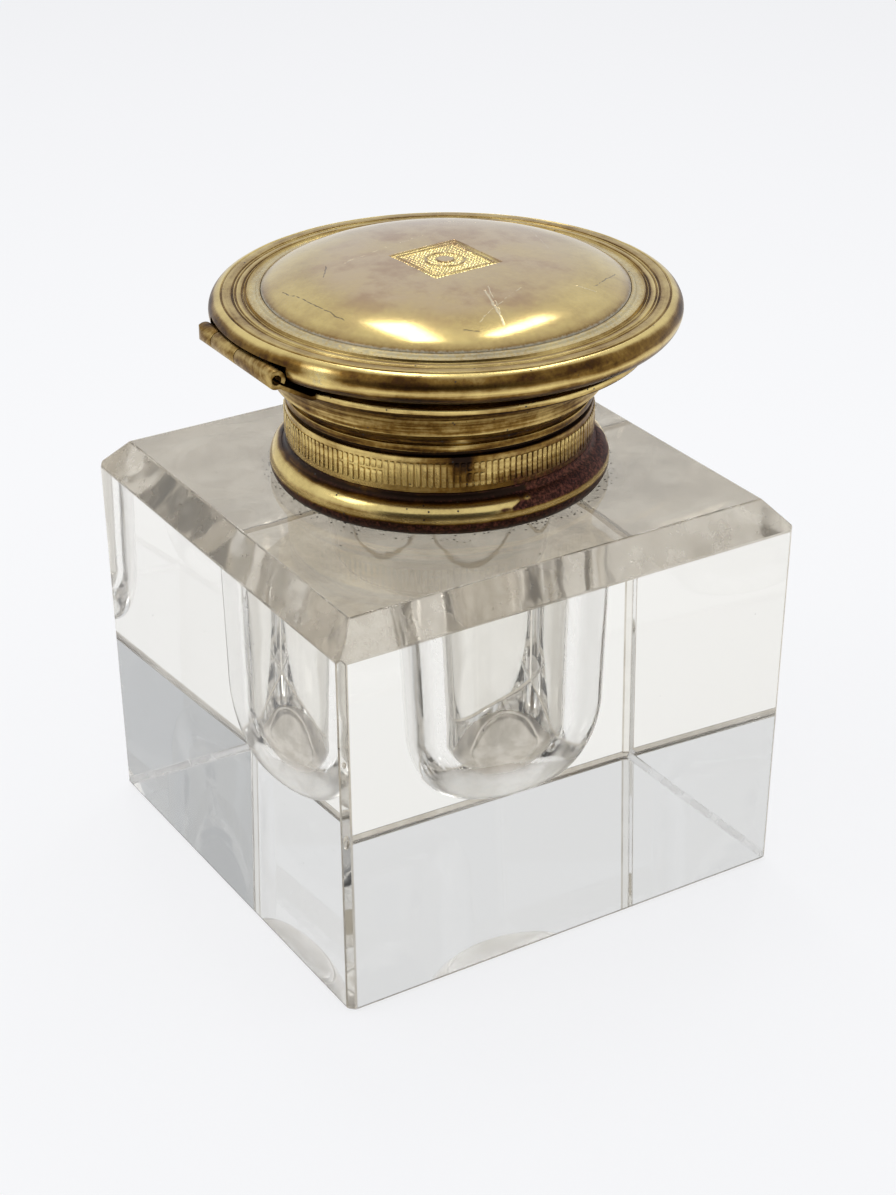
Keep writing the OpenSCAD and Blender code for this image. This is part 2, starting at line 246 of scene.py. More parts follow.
# The glass block
# One heavy piece of clear glass, cut square, with its faces and the bevel round its top ground flat and polished.
# The well is ground out of it from above, through the short neck that the collar is cemented on.
block_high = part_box("glass_block")[1]
neck_low, neck_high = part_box("cement_bed")
neck_x, neck_y = (neck_low.x + neck_high.x) / 2, (neck_low.y + neck_high.y) / 2
block_top = neck_low.z
half_x, half_y = block_high.x, block_high.y
bevel_in, bevel_drop = 2.9 * mm, 3.3 * mm
edge_flat = 1.1 * mm
side_lean, base_arris = 0.5 * mm, 0.5 * mm
edge_ease = 0.14 * mm
neck_r, neck_bore = 14.4 * mm, 10.6 * mm
well_mouth_r, well_r, well_floor = 13.4 * mm, 12.55 * mm, 12.4 * mm
well_turn_in, well_turn_up, well_turn_steps = 6.4 * mm, 9.5 * mm, 60
floor_flat_r, floor_flat_dip, floor_dip = 3.4 * mm, 0.06 * mm, 0.09 * mm
shoulder_h, shoulder_depth = 4 * mm, 1 * mm
neck_ease, hollow_ease = 0.3 * mm, 0.7 * mm
well_row = 1.8 * mm
ridge_r, ridge_rise, ridge_width = 7.5 * mm, 0.22 * mm, 0.28 * mm
round_steps = 288
outer_zone = 4 * mm


def arc(centre_r, centre_z, radius, start, end, steps=12):
    """Points of an arc in a section, from one angle to another in degrees."""
    angles = np.radians(np.linspace(start, end, steps + 1))
    return [(centre_r + radius * cos(a), centre_z + radius * sin(a)) for a in angles]


def eased(outline, reach, closed=True, turn=25):
    """The same outline with each sharp corner rounded a little, as handling and polishing leave it."""
    points = [Vector(p) for p in outline]
    count = len(points)
    made = []
    for i, p in enumerate(points):
        if not closed and i in (0, count - 1):
            made.append(p)
            continue
        before, after = points[i - 1] - p, points[(i + 1) % count] - p
        if min(before.length, after.length) < 1e-7 or before.angle(-after) < radians(turn):
            made.append(p)
            continue
        a = p + before.normalized() * min(reach, before.length * 0.45)
        b = p + after.normalized() * min(reach, after.length * 0.45)
        made += [a, a * 0.5625 + p * 0.375 + b * 0.0625, a * 0.25 + p * 0.5 + b * 0.25,
                 a * 0.0625 + p * 0.375 + b * 0.5625, b]
    return [tuple(p) for p in made]


def outward_faces(mesh, merge=0, also=None):
    """Adds a second mesh where there is one, merges points that lie together, and turns every face outward."""
    bm = bmesh.new()
    for source in filter(None, (mesh, also)):
        bm.from_mesh(source)
    if merge:
        bmesh.ops.remove_doubles(bm, verts=bm.verts, dist=merge)
    bmesh.ops.recalc_face_normals(bm, faces=bm.faces)
    bm.to_mesh(mesh)
    bm.free()
    return mesh


def mesh_of(bm, name):
    mesh = bpy.data.meshes.new(name)
    bm.to_mesh(mesh)
    bm.free()
    return mesh


def spun(name, axis, outline, steps=round_steps, closed=True):
    """A mesh of this section spun round an upright axis. An open section starts and ends on the axis."""
    section = np.array(outline)
    angles = np.linspace(0, 2 * pi, steps, endpoint=False)
    points = np.empty((steps, len(section), 3))
    points[..., 0] = axis[0] + section[None, :, 0] * np.cos(angles)[:, None]
    points[..., 1] = axis[1] + section[None, :, 0] * np.sin(angles)[:, None]
    points[..., 2] = section[None, :, 1]
    count = len(section)
    faces = [(i * count + k, (i + 1) % steps * count + k, (i + 1) % steps * count + (k + 1) % count,
              i * count + (k + 1) % count) for i in range(steps) for k in range(count if closed else count - 1)]
    mesh = bpy.data.meshes.new(name)
    mesh.from_pydata(points.reshape(-1, 3).tolist(), [], faces)
    return outward_faces(mesh, 1e-8)


def spun_piece(name, *section):
    return shown_piece(name, spun(name, *section))


def smoothed(mesh, sharp=35):
    """Smooth shading, with hard edges where two faces meet at more than this angle."""
    mesh.shade_smooth()
    mesh.set_sharp_from_angle(angle=radians(sharp))


def cut_plane(bm, outward, low, high):
    """Takes off what lies outside the line through two (distance, height) points, drawn out square to `outward`."""
    run, rise = high[0] - low[0], high[1] - low[1]
    place = Vector((outward.x * low[0], outward.y * low[0], low[1]))
    normal = Vector((outward.x * rise, outward.y * rise, -run))
    cut = bmesh.ops.bisect_plane(bm, geom=bm.verts[:] + bm.edges[:] + bm.faces[:], dist=1e-9,
                                 plane_co=place, plane_no=normal, clear_outer=True)
    edges = [e for e in cut["geom_cut"] if isinstance(e, bmesh.types.BMEdge)]
    bmesh.ops.edgeloop_fill(bm, edges=edges)


bm = bmesh.new()
bmesh.ops.create_cube(bm, size=1)
bmesh.ops.scale(bm, vec=(half_x * 2, half_y * 2, block_top), verts=bm.verts)
bmesh.ops.translate(bm, vec=(0, 0, block_top / 2), verts=bm.verts)
bevel_z = block_top - bevel_drop
edge_reach = (half_x + half_y) / 2 ** 0.5 - edge_flat / 2
edge_foot = edge_reach - side_lean * 2 ** 0.5
for turn in range(4):
    outward = Vector((cos(turn * pi / 2), sin(turn * pi / 2), 0))
    half = half_y if turn % 2 else half_x
    cut_plane(bm, outward, (half - side_lean, base_arris), (half, bevel_z))
    cut_plane(bm, outward, (half - side_lean - base_arris, 0), (half - side_lean, base_arris))
    cut_plane(bm, outward, (half, bevel_z), (half - bevel_in, block_top))
for turn in range(4):
    outward = Vector((cos(turn * pi / 2 + pi / 4), sin(turn * pi / 2 + pi / 4), 0))
    cut_plane(bm, outward, (edge_foot, 0), (edge_reach, bevel_z))
    cut_plane(bm, outward, (edge_foot - base_arris, 0), (edge_foot, base_arris))
    cut_plane(bm, outward, (edge_reach, bevel_z), (edge_reach, block_top))
bmesh.ops.remove_doubles(bm, verts=bm.verts, dist=1e-7)
bmesh.ops.dissolve_degenerate(bm, edges=bm.edges, dist=1e-6)
bmesh.ops.bevel(bm, geom=bm.edges[:], offset=edge_ease, segments=2, profile=0.5, affect="EDGES")

top_face = max(bm.faces, key=lambda f: (round(f.calc_center_median().z, 6), f.calc_area()))
top_rim = list(top_face.edges)
bmesh.ops.delete(bm, geom=[top_face], context="FACES_ONLY")
angles = np.linspace(0, 2 * pi, round_steps, endpoint=False)
neck_foot_r = neck_r + neck_ease
foot_ring = [bm.verts.new((neck_x + neck_foot_r * cos(a), neck_y + neck_foot_r * sin(a), block_top)) for a in angles]
foot_edges = [bm.edges.new((foot_ring[i], foot_ring[(i + 1) % round_steps])) for i in range(round_steps)]
bmesh.ops.triangle_fill(bm, use_beauty=True, edges=top_rim + foot_edges)
block_mesh = mesh_of(bm, "glass_body")

neck_top = block_high.z
shoulder_top = block_top - shoulder_depth
shoulder_z = shoulder_top - shoulder_h
corner_z = well_floor + well_turn_up


def rows(start, end):
    """Points along a straight wall of the section, a small step apart, so that it can be shaded smooth."""
    (r0, z0), (r1, z1) = start, end
    run, way = abs(z1 - z0), 1 if z1 > z0 else -1
    return [(r1 + (r0 - r1) * (1 - k * well_row / run), z0 + way * k * well_row) for k in range(1, int(run / well_row))]


def well_corner(angle):
    """The well's lower corner, a quarter of an ellipse, with the fine ridge that runs round the floor."""
    r = well_r - well_turn_in * (1 - cos(angle))
    ridge = ridge_rise * exp(-((r - ridge_r) / ridge_width) ** 2)
    return r, well_floor + well_turn_up * (1 - sin(angle)) + ridge


hollow = eased([
    (neck_foot_r, block_top), (neck_r, block_top + neck_ease), *rows((neck_r, block_top), (neck_r, neck_top)),
    (neck_r, neck_top), (neck_bore, neck_top), *rows((neck_bore, neck_top), (neck_bore, shoulder_top)),
    (neck_bore, shoulder_top), (well_mouth_r, shoulder_z), *rows((well_mouth_r, shoulder_z), (well_r, corner_z)),
    *(well_corner(pi / 2 * k / well_turn_steps) for k in range(well_turn_steps + 1)),
    (floor_flat_r, well_floor - floor_flat_dip), (0, well_floor - floor_dip),
], hollow_ease, closed=False)
outward_faces(block_mesh, 1e-7, spun("hollow", (neck_x, neck_y), hollow, closed=False))

chips = [
    # where the middle is, and half its length, depth and height
    ((-17.6, 28.2, 0.0), (1.7, 0.45, 0.5)), ((-27.9, 13.2, 0.0), (0.35, 1.4, 0.4)),
    ((-24.0, 28.3, 0.2), (0.5, 0.3, 0.5)), ((-10.5, 28.2, 0.0), (0.7, 0.3, 0.4)), ((-27.9, 24.6, 0.1), (0.3, 0.6, 0.5)),
    ((-28.1, 4.0, 0.0), (0.3, 0.8, 0.4)), ((-27.9, -9.0, 0.1), (0.3, 0.5, 0.4)), ((-28.0, -20.5, 0.0), (0.3, 1.0, 0.5)),
    ((6.5, 28.2, 0.0), (0.8, 0.3, 0.4)), ((19.0, 28.2, 0.1), (0.5, 0.3, 0.5)), ((28.2, 9.5, 0.0), (0.3, 0.9, 0.5)),
    ((12.0, -28.7, 0.0), (1.1, 0.3, 0.5)), ((28.3, -15.0, 0.1), (0.4, 0.7, 0.5)), ((-8.0, -28.7, 0.1), (0.7, 0.3, 0.4)),
    ((-27.9, 28.4, 22.0), (0.35, 0.35, 0.9)), ((-28.1, 28.6, 31.5), (0.3, 0.3, 0.5)),
    ((-9.5, 26.3, 46.9), (0.6, 0.25, 0.2)), ((-25.7, 3.5, 46.9), (0.25, 0.7, 0.2)),
    ((25.7, -6.0, 46.9), (0.2, 0.5, 0.2)),
]


def mended(piece, modifier_type, **settings):
    """Runs one modifier on a piece and keeps its result as the mesh."""
    modifier = piece.modifiers.new("work", modifier_type)
    for key, value in settings.items():
        setattr(modifier, key, value)
    return applied(piece)


def applied(piece):
    """Keeps what a piece's modifiers make as its mesh."""
    bpy.context.view_layer.update()
    result = bpy.data.meshes.new_from_object(piece.evaluated_get(bpy.context.evaluated_depsgraph_get()))
    result.materials.clear()
    piece.modifiers.clear()
    piece.data = result
    return piece


tool_bm = bmesh.new()
for place, size in chips:
    ball = Matrix.Translation(Vector(place) * mm) @ Matrix.Diagonal((*(half * mm for half in size), 1))
    bmesh.ops.create_icosphere(tool_bm, subdivisions=3, radius=1, matrix=ball)
glass_body = shown_piece("glass_body", block_mesh)
chip_tool = shown_piece("chips", mesh_of(tool_bm, "chips"))
mended(glass_body, "BOOLEAN", operation="DIFFERENCE", object=chip_tool, solver="MANIFOLD")
bpy.data.objects.remove(chip_tool)
smoothed(glass_body.data, 30)


def in_outer_zone(place):
    return abs(place.x) > half_x - outer_zone or abs(place.y) > half_y - outer_zone


def in_mm(tree, centre):
    """Coordinates in millimetres from a point."""
    place = wire(tree, "ShaderNodeTexCoord", output="Object")
    return vector_step("SCALE", vector_step("ADD", place, tuple(-c for c in centre)), scale=1 / mm)


def noise(place, scale, detail=2.0, rough=0.5):
    return wire(place.tree, "ShaderNodeTexNoise", {
        "Vector": place, "Scale": scale, "Detail": detail, "Roughness": rough}, "Fac")


def parts(value, kind="XYZ"):
    """The three numbers of a place, or of a colour."""
    return [Wire(socket) for socket in node(value.tree, f"ShaderNodeSeparate{kind}", {0: value}).outputs[:3]]


def specks(place, scale, size, share):
    """Small round specks: 1 in a speck, 0 outside, on this share of the cells."""
    cells = node(place.tree, "ShaderNodeTexVoronoi", {"Vector": place, "Scale": scale}).outputs
    radius = step("MULTIPLY", share - parts(Wire(cells["Color"]), "Color")[0], 6.0, clamp=True) * size
    return between(radius - Wire(cells["Distance"]), 0.0, size * 0.3)


def bump(height, strength, reach, **more):
    return wire(height.tree, "ShaderNodeBump", {"Height": height, "Strength": strength, "Distance": reach, **more})


def flattened(place):
    return vector_step("MULTIPLY", place, (1, 1, 0))


def principled(material, inputs):
    """Ends a material with one principled shader, and gives the shader."""
    shader = node(material.node_tree, "ShaderNodeBsdfPrincipled", inputs)
    node(material.node_tree, "ShaderNodeOutputMaterial", {"Surface": Wire(shader.outputs[0])})
    return shader


def placed(piece, finishes, body, slot, *stands_for):
    """Gives a piece its finishes and puts it on its body, in the place of these solids."""
    for finish in finishes:
        piece.data.materials.append(finish)
    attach(piece, body)
    if stands_for:
        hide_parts(*stands_for)
    return piece


# the colour of the dust film, also used for the painted shade on the well's wall
dust_and_shade_colour, speck_colour = (0.56, 0.50, 0.40), (0.05, 0.035, 0.02)
smear_share = (0.70, 0.66, 0.58)
grime_full, grime_none = 19.2, 21.2


def glass(name, tint, roughness, dirt, wave=0.0, dust=0.0, foot_grime=0.0, slanting_painted_shade=0.0, haze=0.0):
    """Polished glass. dirt is the share of cells with a dark speck, wave how wavy the polish is, dust a patchy film,
    foot_grime what has gathered round the collar's foot, slanting_painted_shade a brown film that grows at a slant
    as painted shade, darkening what is seen through the well's wall from above, and haze an even film."""
    material, tree = new_material(name)
    place = in_mm(tree, (neck_x, neck_y, 0))
    speck = specks(place, 0.55, 0.085, dirt)
    cloud = between(noise(place, 0.20, 5, 0.65), 0.36, 0.66)
    fine = noise(place, 2.3, 4, 0.7)
    film = (cloud * 0.8 + 0.2) * dust
    if foot_grime:
        near = between(vector_step("LENGTH", flattened(place), output="Value"), grime_full, grime_none, 1.0, 0.0)
        speck = highest(speck, specks(place, 1.9, 0.30, near * foot_grime))
        film = film + near * fine * 0.35
    film = step("MULTIPLY", film, fine * 0.8 + 0.6, clamp=True)
    # painted shade: a brown film that thickens at a slant darkens the well's wall as seen through the top
    if slanting_painted_shade:
        facing_away = wire(tree, "ShaderNodeLayerWeight", {"Blend": 0.5}, "Facing")
        film = highest(film, between(facing_away, 0.28, 0.44, 0.0, slanting_painted_shade))
    film = step("ADD", film, haze, clamp=True)
    if dust > 0.2:
        smear = step("MULTIPLY", cloud, fine + 0.4, clamp=True)
        tint = blended(smear, tint, tuple(t * share for t, share in zip(tint, smear_share)))
    shading = {
        "Base Color": blended(speck, blended(film, tint, dust_and_shade_colour), speck_colour), "Roughness": roughness,
        "Transmission Weight": 1.0 - highest(speck, film * 0.6), "IOR": 1.52}
    if wave:
        shading["Normal"] = bump(noise(place, 0.22, 1.0), wave, 0.25 * mm)
    principled(material, shading)
    return material


SIDES, TOP, BEVELS, STAINED_FLOOR, UPRIGHT_EDGES, ARRISES, WELL_WALL = range(7)
glass_finishes = [
    glass("polished_sides", (0.955, 0.944, 0.895), 0.0, 0.14),
    # the top's and the bevels' dark warm tint is partly a grime film and partly painted shade: the shaded table under
    # the block, seen through them
    glass("worn_top_painted_shade", (0.47, 0.40, 0.29), 0.03, 0.26, wave=0.10, dust=0.42, foot_grime=0.9),
    glass("worn_bevels_painted_shade", (0.90, 0.80, 0.62), 0.07, 0.20, wave=0.45, dust=0.22, haze=0.42),
    glass("stained_well_floor", (0.80, 0.72, 0.63), 0.30, 0.75, wave=0.3, dust=0.7),
    glass("worn_upright_edges", (0.86, 0.83, 0.74), 0.04, 0.25, wave=0.25, dust=0.10),
    glass("ground_arrises", (0.52, 0.46, 0.36), 0.22, 0.25, dust=0.3),
    # the well's wall carries painted shade at a slant
    glass("well_wall", (0.90, 0.885, 0.85), 0.0, 0.16, wave=0.10, dust=0.06, slanting_painted_shade=0.42),
]
flat_on, nearly_flat_on = 0.999, 0.998
stain_r, stain_h = 10.2 * mm, 6 * mm
stain_x, stain_y = neck_x - 1.7 * mm, neck_y + 1.1 * mm


def glass_part(centre, normal):
    """Which of the block's finishes a face has."""
    across = ((centre.x - neck_x) ** 2 + (centre.y - neck_y) ** 2) ** 0.5
    if across < neck_foot_r * 1.001 and abs(centre.x) < half_x - outer_zone:
        from_stain = ((centre.x - stain_x) ** 2 + (centre.y - stain_y) ** 2) ** 0.5
        return STAINED_FLOOR if from_stain < stain_r and centre.z < well_floor + stain_h else WELL_WALL
    if normal.z > flat_on:
        return TOP
    if normal.z > 0.6 and centre.z > bevel_z:
        return BEVELS
    if max(abs(normal.x), abs(normal.y)) > nearly_flat_on or abs(normal.z) > flat_on:
        return SIDES
    return UPRIGHT_EDGES if abs(abs(normal.x) - abs(normal.y)) < 0.02 and abs(normal.z) < 0.05 else ARRISES


placed(glass_body, glass_finishes, "base", "glass", "glass_block")
for face in glass_body.data.polygons:
    if in_outer_zone(face.center) or face.area > 2 * mm ** 2:
        face.use_smooth = False
    face.material_index = glass_part(face.center, face.normal)


# The cement bed
# White setting cement, cast between the glass neck and the brass rings. It was poured, so it is rough and pitted,
# and ink and verdigris have crept into its lower edge.
material, tree = new_material("setting_cement")
place = in_mm(tree, (neck_x, neck_y, block_top))
grain = noise(place, 1.6, 6, 0.7)
pits = specks(place, 1.1, 0.25, 0.3)
stain = between(parts(place)[2] + grain * 4.0, 1.5, 5.0, 1.0, 0.0)
colour = blended(grain, (0.83, 0.79, 0.71), (0.62, 0.57, 0.48))
colour = blended(stain, colour, (0.36, 0.27, 0.17))
colour = blended(pits, colour, (0.28, 0.24, 0.19))
principled(material, {"Base Color": colour, "Roughness": 0.9, "Normal": bump(grain - pits, 0.6, 0.1 * mm)})
bed_in, bed_out = neck_r + 0.08 * mm, (neck_high.x - neck_low.x) / 2


def hollow_tube(inner, outer, low, high):
    """The section of a plain ring."""
    return [(inner, low), (outer, low), (outer, high), (inner, high)]


bed_outline = eased(hollow_tube(bed_in, bed_out, neck_low.z, neck_high.z), 0.25 * mm)
cement = spun_piece("cement_bed_cast", (neck_x, neck_y), bed_outline, 144)
smoothed(cement.data)
placed(cement, [material], "base", "cement", "cement_bed")


# The foot ring
# The collar's lowest ring, turned from cast brass: a full bead that sits on the glass, and a narrow cove above it.
# The bead's top is painted bright as a highlight. Its underside has gone dark red, and the cove holds old polish and
# purple tarnish.
# the brightest tone stands only for painted highlights
PAINTED_HIGHLIGHT, GOLD, OLIVE = (0.06, 0, 0), (0.20, 0, 0), (0.42, 0, 0)
BROWN, DARK, BLACK = (0.60, 0.05, 0), (0.80, 0.15, 0), (1.0, 0.1, 0)
PLUM = (0.93, 0.45, 0)


def paint(mesh, axis, tone):
    """Stores how tarnished, how copper-red and how green each point is, from its radius, height and heading."""
    points = np.empty(len(mesh.vertices) * 3)
    mesh.vertices.foreach_get("co", points)
    points = points.reshape(-1, 3)
    across = points[:, :2] - np.array(axis)
    radius = np.hypot(across[:, 0], across[:, 1])
    heading = np.degrees(np.arctan2(across[:, 1], across[:, 0])) % 360
    tones = np.clip(tone(radius, points[:, 2], heading), 0, 1)
    colour = np.ones((len(points), 4), np.float32)
    colour[:, :3] = tones
    layer = mesh.attributes.get("patina") or mesh.attributes.new("patina", "FLOAT_COLOR", "POINT")
    layer.data.foreach_set("color", colour.ravel())


def stops(value, pairs):
    """Tones at values in between a rising list of (value, tone) pairs."""
    keys = [p[0] for p in pairs]
    return np.stack([np.interp(value, keys, [p[1][k] for p in pairs]) for k in range(3)], 1)


def patch(value, low, high, fade):
    """1 inside a range, fading to 0 past its ends."""
    return np.clip((value - low) / fade + 1, 0, 1) * np.clip((high - value) / fade + 1, 0, 1)


def toward(tones, share, tone):
    return tones + np.asarray(share)[:, None] * (np.array(tone) - tones)


def dented(mesh, seed, count, depth, width):
    """Presses a few shallow dents into a mesh, each at a random point of it."""
    draw = np.random.default_rng(seed)
    points = np.empty(len(mesh.vertices) * 3)
    normals = np.empty(len(mesh.vertices) * 3)
    mesh.vertices.foreach_get("co", points)
    mesh.vertices.foreach_get("normal", normals)
    points, normals = points.reshape(-1, 3), normals.reshape(-1, 3)
    middles = points[draw.integers(0, len(points), count)]
    for middle, size, press in zip(middles, draw.uniform(0.4, 1, count), draw.uniform(0.3, 1, count)):
        away = ((points - middle) ** 2).sum(1) / (width * size) ** 2
        points -= normals * (depth * press * np.exp(-away))[:, None]
    mesh.vertices.foreach_set("co", points.ravel())
    mesh.update()


def out_from_axis(place):
    x, y, z = parts(place)
    return step("SQRT", x * x + y * y)


def attribute(tree, name, output):
    return wire(tree, "ShaderNodeAttribute", output=output, attribute_name=name, attribute_type="GEOMETRY")


tarnish_ladder = (
    # how tarnished the metal is, and its colour there
    (0.0, (0.86, 0.67, 0.26)), (0.20, (0.69, 0.52, 0.195)), (0.40, (0.49, 0.345, 0.125)),
    (0.60, (0.24, 0.135, 0.030)), (0.80, (0.085, 0.040, 0.010)), (1.0, (0.026, 0.015, 0.010)))
crust_dark, crust_red = (0.028, 0.011, 0.012), (0.23, 0.082, 0.058)
verdigris_colour, dot_colour = (0.60, 0.575, 0.43), (0.03, 0.02, 0.015)


def aged_brass(name, centre, gloss=0.26, marks=0.5, blotch=0.45, grime=0.25, streak=0.9):
    """Old brass: bright to black by its patina attribute, with blotches, pits, specks and the lathe's fine lines.

    gloss is the bright metal's roughness, marks the depth of the turning lines, blotch how uneven the tarnish is,
    grime the share of cells with a dark speck, and streak how far the tarnish follows the turning lines."""
    material, tree = new_material(name)
    place = in_mm(tree, centre)
    tarnish, copper, verdigris = parts(attribute(tree, "patina", "Color"), "Color")
    along = out_from_axis(place) + parts(place)[2] * 1.07

    def turned(pitch, drift):
        """Noise drawn out round the axis: fine lines that change slowly as they go round."""
        return wire(tree, "ShaderNodeTexNoise", {
            "Vector": vector_step("SCALE", place, scale=drift), "W": along * pitch, "Scale": 1.0, "Detail": 2.0},
            "Fac", noise_dimensions="4D")

    cloud, mottle, crust = noise(place, 0.22, 4, 0.62), noise(place, 1.7, 6, 0.75), noise(place, 2.6, 4, 0.75)
    shares = ((cloud, 1.5), (mottle, 0.8), (turned(2.4, 0.16), streak))
    dull = step("ADD", tarnish, sum((texture - 0.5) * (blotch * share) for texture, share in shares), clamp=True)
    ladder = node(tree, "ShaderNodeValToRGB", {0: dull})
    for k, (spot, colour) in enumerate(tarnish_ladder):
        rung = ladder.color_ramp.elements[k] if k < 2 else ladder.color_ramp.elements.new(spot)
        rung.position, rung.color = spot, (*colour, 1)
    red = between(copper + (mottle - 0.5) * 0.9, 0.25, 0.75)
    green = between(verdigris + (crust - 0.55) * 1.3, 0.35, 0.95)
    dots = highest(specks(place, 1.3, 0.17, grime), specks(place, 0.6, 0.15, grime * 0.35))
    copper_red = blended(between(crust, 0.40, 0.68), crust_dark, crust_red)
    colour = blended(red * 0.85, Wire(ladder.outputs["Color"]), copper_red)
    colour = blended(green * 0.7, colour, verdigris_colour)
    height = turned(6.5, 0.09) * marks + crust * 0.35 - dots
    worn_gloss = between(dull, 0.1, 0.9, gloss, gloss + 0.22, "LINEAR")
    principled(material, {
        "Base Color": blended(dots, colour, dot_colour), "Metallic": 1.0 - highest(green, dots) * 0.85,
        "Roughness": worn_gloss + highest(green, red * 0.5) * 0.35, "Normal": bump(height, 0.35, 0.03 * mm)})
    return material


def dressed(piece, axis, tone, finish, body, slot, *stands_for, sharp=35):
    """Paints a piece by its tone, shades it smooth, and puts it in its place."""
    paint(piece.data, axis, tone)
    smoothed(piece.data, sharp)
    return placed(piece, [finish], body, slot, *stands_for)


def round_piece(name, axis, outline, *look_and_place, steps=round_steps, ease=0.09 * mm, dents=0, closed=True):
    """A turned piece with eased corners and a few dents; look_and_place is what dressed asks for after the axis."""
    piece = spun_piece(name, axis, eased(outline, ease, closed), steps, closed)
    if dents:
        dented(piece.data, seed=len(name) + dents, count=dents, depth=0.05 * mm, width=2.2 * mm)
    return dressed(piece, axis, *look_and_place)


neck_axis = (neck_x, neck_y)
foot_low, foot_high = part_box("foot_ring")
band_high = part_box("reeded_band")[1]
collar_bore = 15.95 * mm
foot_r = (foot_high.x - foot_low.x) / 2
bead_r, bead_rise = 2.1 * mm, 1.45 * mm
cove_r = 0.95 * mm
band_r = 17.3 * mm
foot_z, band_z = foot_low.z, foot_high.z
corrosion_from, corrosion_to = 176, 241
pit_heading = 156.5

collar_brass = aged_brass("collar_brass", (neck_x, neck_y, foot_z), gloss=0.19, marks=0.5, blotch=0.5, grime=0.26,
                          streak=1.3)


def corroded(tones, height, heading, low, high, strength):
    """The copper-red patch that has eaten into one side of the collar, with a ragged edge."""
    up = height / mm
    ragged = heading + 6 * np.sin(up * 1.6 - 0.6) + 2 * np.sin(heading * 0.9) + 1.5 * np.sin(up * 7 + 2)
    share = patch(ragged, corrosion_from, corrosion_to, 4)
    share *= patch(height, low * mm + foot_z, high * mm + foot_z, 0.35 * mm)
    return toward(tones, share * strength, (0.78, 0.95, 0))


def foot_tone(radius, height, heading):
    # painted highlight: the brightest band round the bead's top, with gold either side
    tones = stops((height - foot_z) / mm, [
        (0, BLACK), (0.3, (1.0, 0.45, 0)), (1.25, (0.97, 0.62, 0)), (1.5, BROWN), (1.65, GOLD), (1.8, OLIVE),
        (2.1, OLIVE), (2.3, GOLD), (2.5, PAINTED_HIGHLIGHT), (2.9, PAINTED_HIGHLIGHT), (3.1, GOLD), (3.25, BROWN), (3.35, DARK),
        (3.45, PLUM), (3.8, BLACK), (4.2, PLUM)])
    return corroded(tones, height, heading, 2.3, 4.2, 1.0)


bead_x = foot_r - bead_r
bead_foot = -float(np.degrees(np.arcsin(bead_rise / bead_r)))
cove_x = band_r + cove_r
foot_outline = [
    (collar_bore, foot_z),
    *arc(bead_x, foot_z + bead_rise, bead_r, bead_foot, 72, 30),
    *arc(cove_x, band_z, cove_r, -100, -180, 12),
    (collar_bore, band_z),
]
round_piece("foot_ring_turned", neck_axis, foot_outline, foot_tone, collar_brass, "base", "collar_brass", "foot_ring",
            dents=9)


# The reeded band
# A plain turned ring with two fillets, and between them fine upright reeds struck with a knurling wheel. On the
# hinge side and at the front right the wheel has slipped or the reeds are worn, and they show as two short rows.
band_top = band_high.z
fillet = 0.7 * mm
reed_count = 156
reed_out = 0.17 * mm
reed_cut = 0.15 * mm
reed_sink = 0.06 * mm
slipped = ((119, 12), (161, 4))


def band_tone(radius, height, heading):
    up = (height - band_z) / mm
    tones = stops(up, [(0, DARK), (0.12, BROWN), (0.3, OLIVE), (0.62, OLIVE), (0.72, DARK), (3.46, DARK), (3.56, OLIVE),
                       (3.8, (0.56, 0.35, 0)), (4.05, (0.56, 0.4, 0)), (4.2, DARK)])
    crest = patch(radius, band_r + 0.08 * mm, band_r + 1 * mm, 0.05 * mm)
    tones = toward(tones, crest, (0.36, 0, 0))
    # painted light: the band is painted brighter on the side that the side soft box lights (headings 40 to 132)
    tones = toward(tones, patch(heading, 40, 132, 12) * 0.6, (0.14, 0, 0))
    tones = corroded(tones, height, heading, 4.2, 5.3, 0.6)
    pit = np.exp(-((heading - pit_heading) / 3.4) ** 2) * patch(up, 2.0, 4.3, 0.9)
    tones = toward(tones, np.exp(-((heading - pit_heading) / 7.0) ** 2) * 0.55, (0.62, 0.2, 0))
    return toward(tones, np.clip(pit * 1.6, 0, 1), BLACK)


band_outline = [(collar_bore, band_z), (band_r, band_z), (band_r, band_top), (collar_bore, band_top)]
round_piece("reeded_band_turned", neck_axis, band_outline, band_tone, collar_brass, "base", "collar_brass",
            "reeded_band", ease=0.12 * mm, dents=5)


def reed_blank(name, spans):
    """One reed lying along Z with its back at the origin: a low bar with rounded shoulders, in one or more spans."""
    half = (2 * pi * band_r / reed_count - reed_cut) / 2
    bm = bmesh.new()
    for low, high in spans:
        # each ring is how far in from the ends and sides, and how far out
        rings = [(0, -reed_sink), (0.01 * mm, reed_out * 0.6), (0.04 * mm, reed_out * 0.92), (0.09 * mm, reed_out)]
        loops = []
        for inset, outward in rings:
            corner = min(0.08 * mm, half * 0.4)
            w, lo, hi = half - inset, low + inset, high - inset
            loops.append([bm.verts.new((outward, y, z)) for y, z in (
                (-w, lo + corner), (-w + corner, lo), (w - corner, lo), (w, lo + corner),
                (w, hi - corner), (w - corner, hi), (-w + corner, hi), (-w, hi - corner))])
        for a, b in zip(loops, loops[1:]):
            for i in range(8):
                bm.faces.new((a[i], a[(i + 1) % 8], b[(i + 1) % 8], b[i]))
        bm.faces.new(loops[-1])
        bm.faces.new(loops[0][::-1])
    bmesh.ops.recalc_face_normals(bm, faces=bm.faces)
    return shown_piece(name, mesh_of(bm, name))


reed_low, reed_high = fillet, band_top - band_z - fillet
reed_mid = reed_low + (reed_high - reed_low) * 0.6
whole_reed = reed_blank("whole_reed", [(reed_low, reed_high)])
worn_reed = reed_blank("worn_reed", [(reed_low, reed_mid - 0.12 * mm), (reed_mid + 0.12 * mm, reed_high)])


